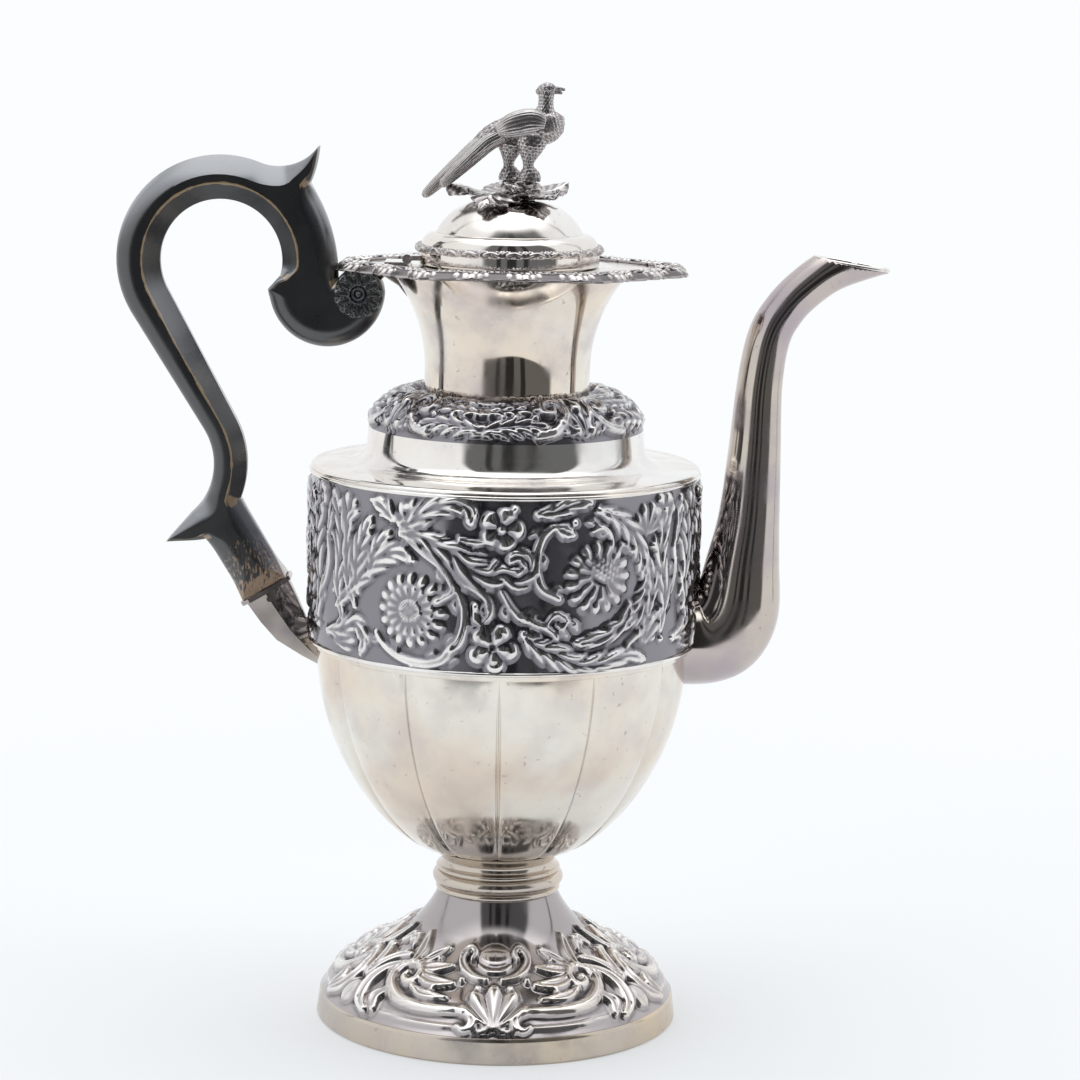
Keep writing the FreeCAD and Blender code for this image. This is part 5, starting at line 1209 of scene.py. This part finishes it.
def makeSpout():
    base = nodeBox("frieze_band")[0].z
    radius = bandLook["radius"]
    curve = smoothCurve(spoutLook["stations"], 9)
    bm = bmesh.new()
    rings = []
    for (x, z, wide), heading in zip(curve, headingsOf(curve)):
        ring = []
        for index in range(spoutLook["around"]):
            angle = math.tau * index / spoutLook["around"]
            over, aside = math.sin(angle) * wide, math.cos(angle) * wide
            ring.append(bm.verts.new(sectionPlace(radius + x, base + z, heading, over, aside)))
        rings.append(ring)
    skinRings(bm, rings)
    start, end = (Vector((radius + x, 0, base + z)) * mm for x, z in spoutLook["mouth"])
    up = Vector((start.z - end.z, 0, end.x - start.x)).normalized()
    geom = bm.verts[:] + bm.edges[:] + bm.faces[:]
    cut = bmesh.ops.bisect_plane(bm, geom=geom, plane_co=start, plane_no=up, clear_outer=True, dist=1e-7)
    edges = [item for item in cut["geom_cut"] if isinstance(item, bmesh.types.BMEdge)]
    route = orderedLoop(edges)
    thicken(addPiece("spout", meshOf(bm, "spout", 50), spoutSilver, ["spout"]), spoutLook["wall"])
    addPiece("spoutLip", wireMesh("spoutLip", route, spoutLook["lip"]), polished, ["spout_lip_wire"])


def orderedLoop(edges):
    # The points of a closed loop of edges, one after another.
    vert = edges[0].verts[0]
    left = set(edges)
    route = []
    while left:
        edge = next(item for item in edges if item in left and vert in item.verts)
        left.remove(edge)
        route.append(vert.co.copy())
        vert = edge.other_vert(vert)
    return route


def wireMesh(name, route, radius):
    # A round wire that follows a closed route.
    curve = bpy.data.curves.new(name, "CURVE")
    curve.dimensions = "3D"
    line = curve.splines.new("POLY")
    line.points.add(len(route) - 1)
    for point, spot in zip(line.points, route):
        point.co = (*spot, 1)
    line.use_cyclic_u = True
    curve.bevel_depth = radius * mm
    curve.bevel_resolution = 3
    holder = bpy.data.objects.new(name, curve)
    mesh = bpy.data.meshes.new_from_object(holder)
    bpy.data.objects.remove(holder)
    for face in mesh.polygons:
        face.use_smooth = True
    return mesh


# Scroll handle

handleLook = {
    "half": 7.0, "spacing": 1.3, "loop": (-96.5, 259.0), "loopOuter": 35.2, "loopInner": 20.5,
    "bow": (-121.0, 190.2), "bowHollow": 22.4, "bowBack": 33.6, "thumbTip": (-64.1, 297.7),
    "thumbAngle": 68.0, "spurTip": (-114.3, 163.9), "spurHeel": (-101.0, 164.7), "bowEnd": -48.0,
    "limbAngle": -20.0, "rim": (-80.9, 148.1), "rimTilt": 149.0, "limbLean": 28.0, "limbHalf": 8.3,
    "loopEnd": -12.0, "thorn": (-80.4, 250.2), "volute": (-50.1, 249.0), "voluteRadius": 8.6,
    "voluteStart": -10.0, "voluteEnd": 146.0, "thumbRoot": (-66.9, 285.4), "thumbSweep": -3.3,
    "thumbHollow": 0.5, "undersideBow": 18.2, "shoulderBow": 2.5, "innerEase": 5.6, "outerEase": 6.2,
    "tipEase": 0.7, "easeShare": 0.84, "topFlat": 0.8,
    "levels": (0.0, 0.2, 0.4, 0.6, 0.8, 0.93, 1.0, 1.08, 1.16),
    "worn": {0.93: 0.5, 1.0: 1.0, 1.08: 0.5}, "tipWear": 0.7, "tipReach": 1.4, "rubAt": (0, 3, 5.5, 18, 26),
    "rubbing": (1, 0.9, 0.66, 0.46, 0),
}


def onCircle(centre, radius, degrees):
    angle = math.radians(degrees)
    return Vector((centre[0] + radius * math.cos(angle), centre[1] + radius * math.sin(angle)))


def arcBulge(radius, first, last):
    return radius * (1 - math.cos(math.radians(abs(last - first) / 2)))


def handleOutline():
    # The scroll's corners, each with the bulge of the stretch that follows it and that stretch's edge.
    look = handleLook
    loop, bow = Vector(look["loop"]), Vector(look["bow"])
    apart = bow - loop
    heading = math.degrees(math.atan2(apart.y, apart.x))
    outerTurn = math.degrees(math.acos((look["loopOuter"] + look["bowHollow"]) / apart.length))
    innerTurn = math.degrees(math.acos((look["loopInner"] + look["bowBack"]) / apart.length))
    loopFrom, loopTo = look["thumbAngle"], heading - outerTurn + 360
    bowFrom = heading + 180 - outerTurn
    backTo = heading + 180 - innerTurn
    innerFrom = heading - innerTurn + 360
    limb, rim, tilt = look["limbHalf"], look["rim"], look["rimTilt"]
    outerLoop, innerLoop = look["loopOuter"], look["loopInner"]
    hollow, bowBack = look["bowHollow"], look["bowBack"]
    volute, curl = look["volute"], look["voluteRadius"]
    curlFrom, curlTo = look["voluteStart"], look["voluteEnd"]
    return [
        (look["thumbTip"], look["thumbSweep"], "outer"),
        (onCircle(loop, outerLoop, loopFrom), arcBulge(outerLoop, loopFrom, loopTo), "outer"),
        (onCircle(loop, outerLoop, loopTo), 0, "outer"),
        (onCircle(bow, hollow, bowFrom), -arcBulge(hollow, bowFrom, look["bowEnd"]), "outer"),
        (onCircle(bow, hollow, look["bowEnd"]), 0, "outer"),
        (look["spurTip"], 0, "tip"),
        (look["spurHeel"], 0, "outer"),
        (onCircle(rim, limb, -tilt), 0, "tip"),
        (onCircle(rim, limb, 180 - tilt), 0, "outer"),
        (onCircle(bow, bowBack, look["limbAngle"]), arcBulge(bowBack, look["limbAngle"], backTo), "inner"),
        (onCircle(bow, bowBack, backTo), 0, "inner"),
        (onCircle(loop, innerLoop, innerFrom), -arcBulge(innerLoop, innerFrom, look["loopEnd"]), "inner"),
        (onCircle(loop, innerLoop, look["loopEnd"]), 0, "tip"),
        (look["thorn"], look["undersideBow"], "outer"),
        (onCircle(volute, curl, curlFrom), arcBulge(curl, curlFrom, curlTo), "outer"),
        (onCircle(volute, curl, curlTo), look["shoulderBow"], "outer"),
        (look["thumbRoot"], look["thumbHollow"], "tip"),
    ]


def inscribed(points, inwards):
    # The radius of the largest circle inside the outline that touches it at each point.
    apart = points[None] - points[:, None]
    ahead = (apart * inwards[:, None]).sum(2)
    square = (apart ** 2).sum(2)
    return np.min(np.where(ahead > 0.02, square / (2 * np.maximum(ahead, 0.02)), 1e3), axis=1)


def handleRing():
    # The outline as points, with the inward direction, the edge's ease, how flat that is, how near a tip is
    # and whether the edge has a worn line.
    look = handleLook
    corners = handleOutline()
    eases = {"outer": look["outerEase"], "inner": look["innerEase"], "tip": look["tipEase"]}
    points, ease, flat, line = [], [], [], []
    for (start, bulge, edge), (end, _, _) in zip(corners, corners[1:] + corners[:1]):
        start, end = Vector(start), Vector(end)
        length = (end - start).length * (1 + (2 * bulge / (end - start).length) ** 2)
        count = max(2, round(length / look["spacing"]))
        for index in range(count):
            points.append(bulgePoint(start, end, bulge, index / count))
            ease.append(eases[edge])
            flat.append(1.0 if edge == "inner" else 0.0)
            line.append(0.0 if edge == "outer" else 1.0)
    points = np.array(points)
    run = np.roll(points, -1, axis=0) - np.roll(points, 1, axis=0)
    run /= np.hypot(run[:, 0], run[:, 1])[:, None]
    inwards = np.column_stack([-run[:, 1], run[:, 0]])
    ease, flat, line = np.array(ease), np.array(flat), np.array(line)
    # Where the outer edge looks up it is a flat facet, and round elsewhere.
    flat = np.maximum(flat, look["topFlat"] * np.clip(-inwards[:, 1], 0, 1) ** 2 * (line == 0))
    ahead = np.roll(points, -1, axis=0) - points
    behind = points - np.roll(points, 1, axis=0)
    turn = np.arctan2(behind[:, 0] * ahead[:, 1] - behind[:, 1] * ahead[:, 0], (behind * ahead).sum(1))
    ease[np.abs(turn) > 0.35] = look["tipEase"] * 2
    for _ in range(6):
        ease = (np.roll(ease, 1) + 2 * ease + np.roll(ease, -1)) / 4
        flat = (np.roll(flat, 1) + 2 * flat + np.roll(flat, -1)) / 4
    ease = np.minimum(ease, look["easeShare"] * inscribed(points, inwards))
    ease = np.minimum(ease, (np.roll(ease, 1) + np.roll(ease, -1)) / 2 + 0.1)
    sharp = points[np.abs(turn) > 0.5]
    nearTip = np.min(np.hypot(*(points[:, None] - sharp[None]).transpose(2, 0, 1)), axis=1)
    return points, inwards, ease, flat, nearTip, line


def makeHandle():
    look = handleLook
    points, inwards, ease, flat, nearTip, line = handleRing()
    rim = np.array(look["rim"])
    upLimb = math.radians(look["rimTilt"] - look["limbLean"])
    fromRim = (points - rim) @ np.array([math.cos(upLimb), math.sin(upLimb)])
    rubbed = np.interp(fromRim, look["rubAt"], look["rubbing"])
    bm = bmesh.new()
    wear, rub = layerOf(bm, "wear"), layerOf(bm, "rubbed")
    rings = []
    shares, worn = look["levels"], look["worn"]
    levels = [(-1, share) for share in shares[::-1]] + [(1, share) for share in shares]
    for sign, share in levels:
        bent = min(share, 1.0)
        inset = ease * (flat * bent + (1 - flat) * (1 - math.cos(bent * math.pi / 2)) + max(0, share - 1))
        lift = ease * (flat * bent + (1 - flat) * math.sin(bent * math.pi / 2))
        spots = points + inwards * inset[:, None]
        depth = sign * (look["half"] - ease + lift)
        ring = []
        for index, ((x, z), y) in enumerate(zip(spots, depth)):
            vert = bm.verts.new((x * mm, y * mm, z * mm))
            tip = look["tipWear"] * math.exp(-(nearTip[index] / look["tipReach"]) ** 2)
            vert[wear] = max(line[index] * worn.get(share, 0.0), tip * (share < 0.9))
            vert[rub] = rubbed[index]
            ring.append(vert)
        rings.append(ring)
    loops = skinRings(bm, rings)
    for loop in (loops[0], loops[-1]):
        bmesh.ops.triangle_fill(bm, edges=loop, use_beauty=True)
    addPiece("handle", meshOf(bm, "handle", 26), wood, ["handle"])


rosetteLook = {"petals": 12, "petalAt": 5.4, "petalLong": 2.9, "petalWide": 1.45, "ground": 0.4,
               "petalRise": 0.5, "rimRise": 1.0, "ringAt": 1.9, "ringHalf": 0.6, "ringRise": 0.9,
               "knob": 1.3, "knobRise": 0.8, "rows": 26, "around": 120}


def makeRosettes():
    look = rosetteLook
    pitch = math.tau / look["petals"]
    low, high = nodeBox("handle_rosettes")
    centre = Vector(handleLook["volute"])
    radius = (high.z - low.z) / 2
    bm = bmesh.new()
    wear = layerOf(bm, "wear")
    for sign in (-1, 1):
        known = set(bm.verts)
        spoke = [bm.verts.new((radius * step / look["rows"] * mm, 0, 0)) for step in range(look["rows"] + 1)]
        edges = [bm.edges.new(pair) for pair in zip(spoke, spoke[1:])]
        bmesh.ops.spin(bm, geom=spoke + edges, cent=(0, 0, 0), axis=(0, 0, 1), angle=math.tau,
                       steps=look["around"], use_merge=True, use_duplicate=False)
        for vert in set(bm.verts) - known:
            gap = vert.co.to_2d().length / mm
            angle = math.atan2(vert.co.y, vert.co.x)
            aside = (angle / pitch - round(angle / pitch)) * pitch * gap
            petal = ((gap - look["petalAt"]) / look["petalLong"]) ** 2 + (aside / look["petalWide"]) ** 2
            rise = look["ground"] + look["petalRise"] * max(0, 1 - petal)
            rise += look["rimRise"] * math.exp(-((petal - 0.82) / 0.16) ** 2)
            rise += look["ringRise"] * max(0, 1 - ((gap - look["ringAt"]) / look["ringHalf"]) ** 2)
            rise += look["knobRise"] * max(0, 1 - (gap / look["knob"]) ** 2)
            rise *= min(1, max(0, (radius - gap) / 0.35 + 0.15))
            vert[wear] = 0.25 * max(0, rise - 1.3)
            vert.co = ((centre.x + vert.co.x / mm) * mm, sign * (handleLook["half"] + rise) * mm,
                       (centre.y + vert.co.y / mm) * mm)
    addPiece("rosettes", meshOf(bm, "rosettes", 80), wood, ["handle_rosettes"])


# Fixings of the handle

fixingLook = {
    "stations": [(-80.9, 148.1, 8.3, 7.4), (-76.0, 139.8, 7.4, 6.6), (-72.0, 133.8, 6.3, 5.8),
                 (-65.8, 127.2, 3.7, 4.6), (-60.5, 122.6, 2.0, 3.6)],
    "facet": 0.42, "ease": 0.5, "bracketHalf": 1.5, "bracketEase": 0.3,
    "bracket": [(-53.0, 247.5), (-46.5, 247.5), (-45.0, 251.0), (-41.6, 254.6), (-37.0, 251.6),
                (-34.0, 248.0), (-35.4, 257.9), (-46.0, 257.9), (-53.0, 252.5)],
}


def makeSocket():
    # Six facets with a ridge in front, tapering from the limb down to the bowl.
    facet = fixingLook["facet"]
    section = [(0, -1), (1, -facet), (1, facet), (0, 1), (-1, facet), (-1, -facet)]
    curve = np.array(fixingLook["stations"])
    bm = bmesh.new()
    rings = []
    for (x, z, wide, deep), heading in zip(curve, headingsOf(curve)):
        rings.append([bm.verts.new(sectionPlace(x, z, heading, across * wide, along * deep))
                      for across, along in section])
    loops = skinRings(bm, rings)
    bmesh.ops.holes_fill(bm, edges=loops[0] + loops[-1])
    softenEdges(bm, fixingLook["ease"])
    addPiece("lowerSocket", meshOf(bm, "lowerSocket", 30), socketSilver, ["lower_socket"])


def makeBracket():
    # A thin gusset under the flange that runs into the volute.
    half = fixingLook["bracketHalf"]
    bm = bmesh.new()
    verts = [bm.verts.new((x * mm, -half * mm, z * mm)) for x, z in fixingLook["bracket"]]
    face = bm.faces.new(verts)
    raised = bmesh.ops.extrude_face_region(bm, geom=[face])["geom"]
    moved = [item for item in raised if isinstance(item, bmesh.types.BMVert)]
    bmesh.ops.translate(bm, verts=moved, vec=(0, 2 * half * mm, 0))
    softenEdges(bm, fixingLook["bracketEase"])
    # The dark socket silver here is painted shade for the gusset's place under the flange.
    addPiece("upperBracket", meshOf(bm, "upperBracket", 30), socketSilver, ["upper_handle_mount"])


# Small fittings that keep their CAD form

def dressFittings():
    for name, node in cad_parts.items():
        node.data.materials.clear()
        node.data.materials.append(socketSilver if name.startswith("lower_socket") else polished)


stages = [dressFittings, makeFootRim, makeFootDome, makeStem, makeBowl, makeBand, makeShoulder, makeCollar,
          makeNeck, makeBorder, makeLid, makeLeaves, makeRock, makeBird, makeSpout, makeHandle,
          makeRosettes, makeSocket, makeBracket]
for make in stages:
    make()
    print("made", make.__name__)


# Studio: floor, soft surroundings and camera

studioLook = {"floor": (0.90, 0.915, 0.935, 1), "floorRough": 0.9, "shade": 0.35, "reach": 1.1,
              "tableFront": -0.56, "tent": 1.0, "overhead": 0.9, "room": 0.15, "figure": 0.03, "seam": 0.15,
              "tint": (0.965, 0.985, 1.0, 1), "openTowards": 15.0, "openSide": (0.62, 0.70),
              "openTop": (0.80, 0.93), "figureEdge": 0.03, "seamAt": 0.3, "seamHalf": (0.012, 0.03),
              "overheadFrom": (0.7, 0.95), "fade": (0.1, 0.7)}
# Dark figures in the room: place across and half width.
studioFigures = [(0.06, 0.09), (0.38, 0.04), (-0.22, 0.03)]


def makeFloor():
    # A white table that fades into the white round it and keeps the pot's shadow.
    bm = bmesh.new()
    bmesh.ops.create_grid(bm, x_segments=1, y_segments=1, size=studioLook["reach"])
    for vert in bm.verts:
        vert.co.y = max(vert.co.y, studioLook["tableFront"])
    mesh = bpy.data.meshes.new("floor")
    bm.to_mesh(mesh)
    bm.free()
    floor = bpy.data.objects.new("floor", mesh)
    scene.collection.objects.link(floor)
    material = bpy.data.materials.new("floor")
    material.use_nodes = True
    tree = material.node_tree
    shader = tree.nodes["Principled BSDF"]
    shader.inputs["Base Color"].default_value = studioLook["floor"]
    shader.inputs["Roughness"].default_value = studioLook["floorRough"]
    shader.inputs["Specular IOR Level"].default_value = 0.0
    spot = tree.nodes.new("ShaderNodeTexCoord")
    gap = tree.nodes.new("ShaderNodeVectorMath")
    gap.operation = "LENGTH"
    tree.links.new(spot.outputs["Object"], gap.inputs[0])
    away = spread(tree, gap.outputs["Value"], *studioLook["fade"], studioLook["shade"], 1.0)
    glow = tree.nodes.new("ShaderNodeEmission")
    glow.inputs["Color"].default_value = studioLook["tint"]
    rays = tree.nodes.new("ShaderNodeLightPath")
    mix = tree.nodes.new("ShaderNodeMixShader")
    seen = calculate(tree, "MAXIMUM", rays.outputs["Is Camera Ray"], rays.outputs["Is Glossy Ray"])
    tree.links.new(calculate(tree, "MULTIPLY", seen, away), mix.inputs[0])
    tree.links.new(shader.outputs[0], mix.inputs[1])
    tree.links.new(glow.outputs[0], mix.inputs[2])
    tree.links.new(mix.outputs[0], tree.nodes["Material Output"].inputs[0])
    mesh.materials.append(material)


def makeWorld():
    # A white tent with two dark seams, brighter overhead, open in front to a dim room with dark figures.
    look = studioLook
    world = bpy.data.worlds.new("studio")
    scene.world = world
    world.use_nodes = True
    tree = world.node_tree
    spot = tree.nodes.new("ShaderNodeTexCoord")
    parts = tree.nodes.new("ShaderNodeSeparateXYZ")
    tree.links.new(spot.outputs["Generated"], parts.inputs[0])
    x, y, z = parts.outputs
    square = calculate(tree, "ADD", calculate(tree, "MULTIPLY", x, x), calculate(tree, "MULTIPLY", y, y))
    level = calculate(tree, "SQRT", square)
    back = calculate(tree, "DIVIDE", y, level)
    side = calculate(tree, "DIVIDE", x, level)
    heading = math.radians(look["openTowards"])
    ahead = calculate(tree, "SUBTRACT", calculate(tree, "MULTIPLY", side, math.sin(heading)),
                      calculate(tree, "MULTIPLY", back, math.cos(heading)))
    opening = calculate(tree, "MULTIPLY", spread(tree, ahead, *look["openSide"]),
                        spread(tree, z, *look["openTop"], 1.0, 0.0))
    figure = 1.0
    for middle, half in studioFigures:
        offset = calculate(tree, "ABSOLUTE", calculate(tree, "SUBTRACT", side, middle))
        figure = calculate(tree, "MINIMUM", spread(tree, offset, half, half + look["figureEdge"]), figure)
    room = spread(tree, figure, 0, 1, look["figure"], look["room"])
    offset = calculate(tree, "ABSOLUTE", calculate(tree, "SUBTRACT", back, look["seamAt"]))
    seam = spread(tree, offset, *look["seamHalf"], look["seam"], look["tent"])
    tent = calculate(tree, "ADD", seam, spread(tree, z, *look["overheadFrom"], 0.0, look["overhead"]))
    light = calculate(tree, "ADD", calculate(tree, "MULTIPLY", room, opening),
                      calculate(tree, "MULTIPLY", tent, calculate(tree, "SUBTRACT", 1.0, opening)))
    rays = tree.nodes.new("ShaderNodeLightPath")
    lit = tree.nodes["Background"]
    lit.inputs["Color"].default_value = look["tint"]
    tree.links.new(calculate(tree, "MAXIMUM", light, rays.outputs["Is Camera Ray"]), lit.inputs["Strength"])


cameraLook = {"lens": 111.7, "sensor": 36.0, "place": (0.0122, -1.1236, 0.354), "pitch": 80.5, "roll": 1.17}


def makeCamera():
    camera = bpy.data.cameras.new("camera")
    camera.lens = cameraLook["lens"]
    camera.sensor_width = cameraLook["sensor"]
    holder = bpy.data.objects.new("camera", camera)
    scene.collection.objects.link(holder)
    tilt = Matrix.Rotation(math.radians(cameraLook["pitch"]), 4, "X")
    roll = Matrix.Rotation(math.radians(cameraLook["roll"]), 4, "Z")
    holder.matrix_world = Matrix.Translation(cameraLook["place"]) @ tilt @ roll
    scene.camera = holder


makeFloor()
makeWorld()
makeCamera()
scene.view_settings.view_transform = "Standard"
print("studio made")
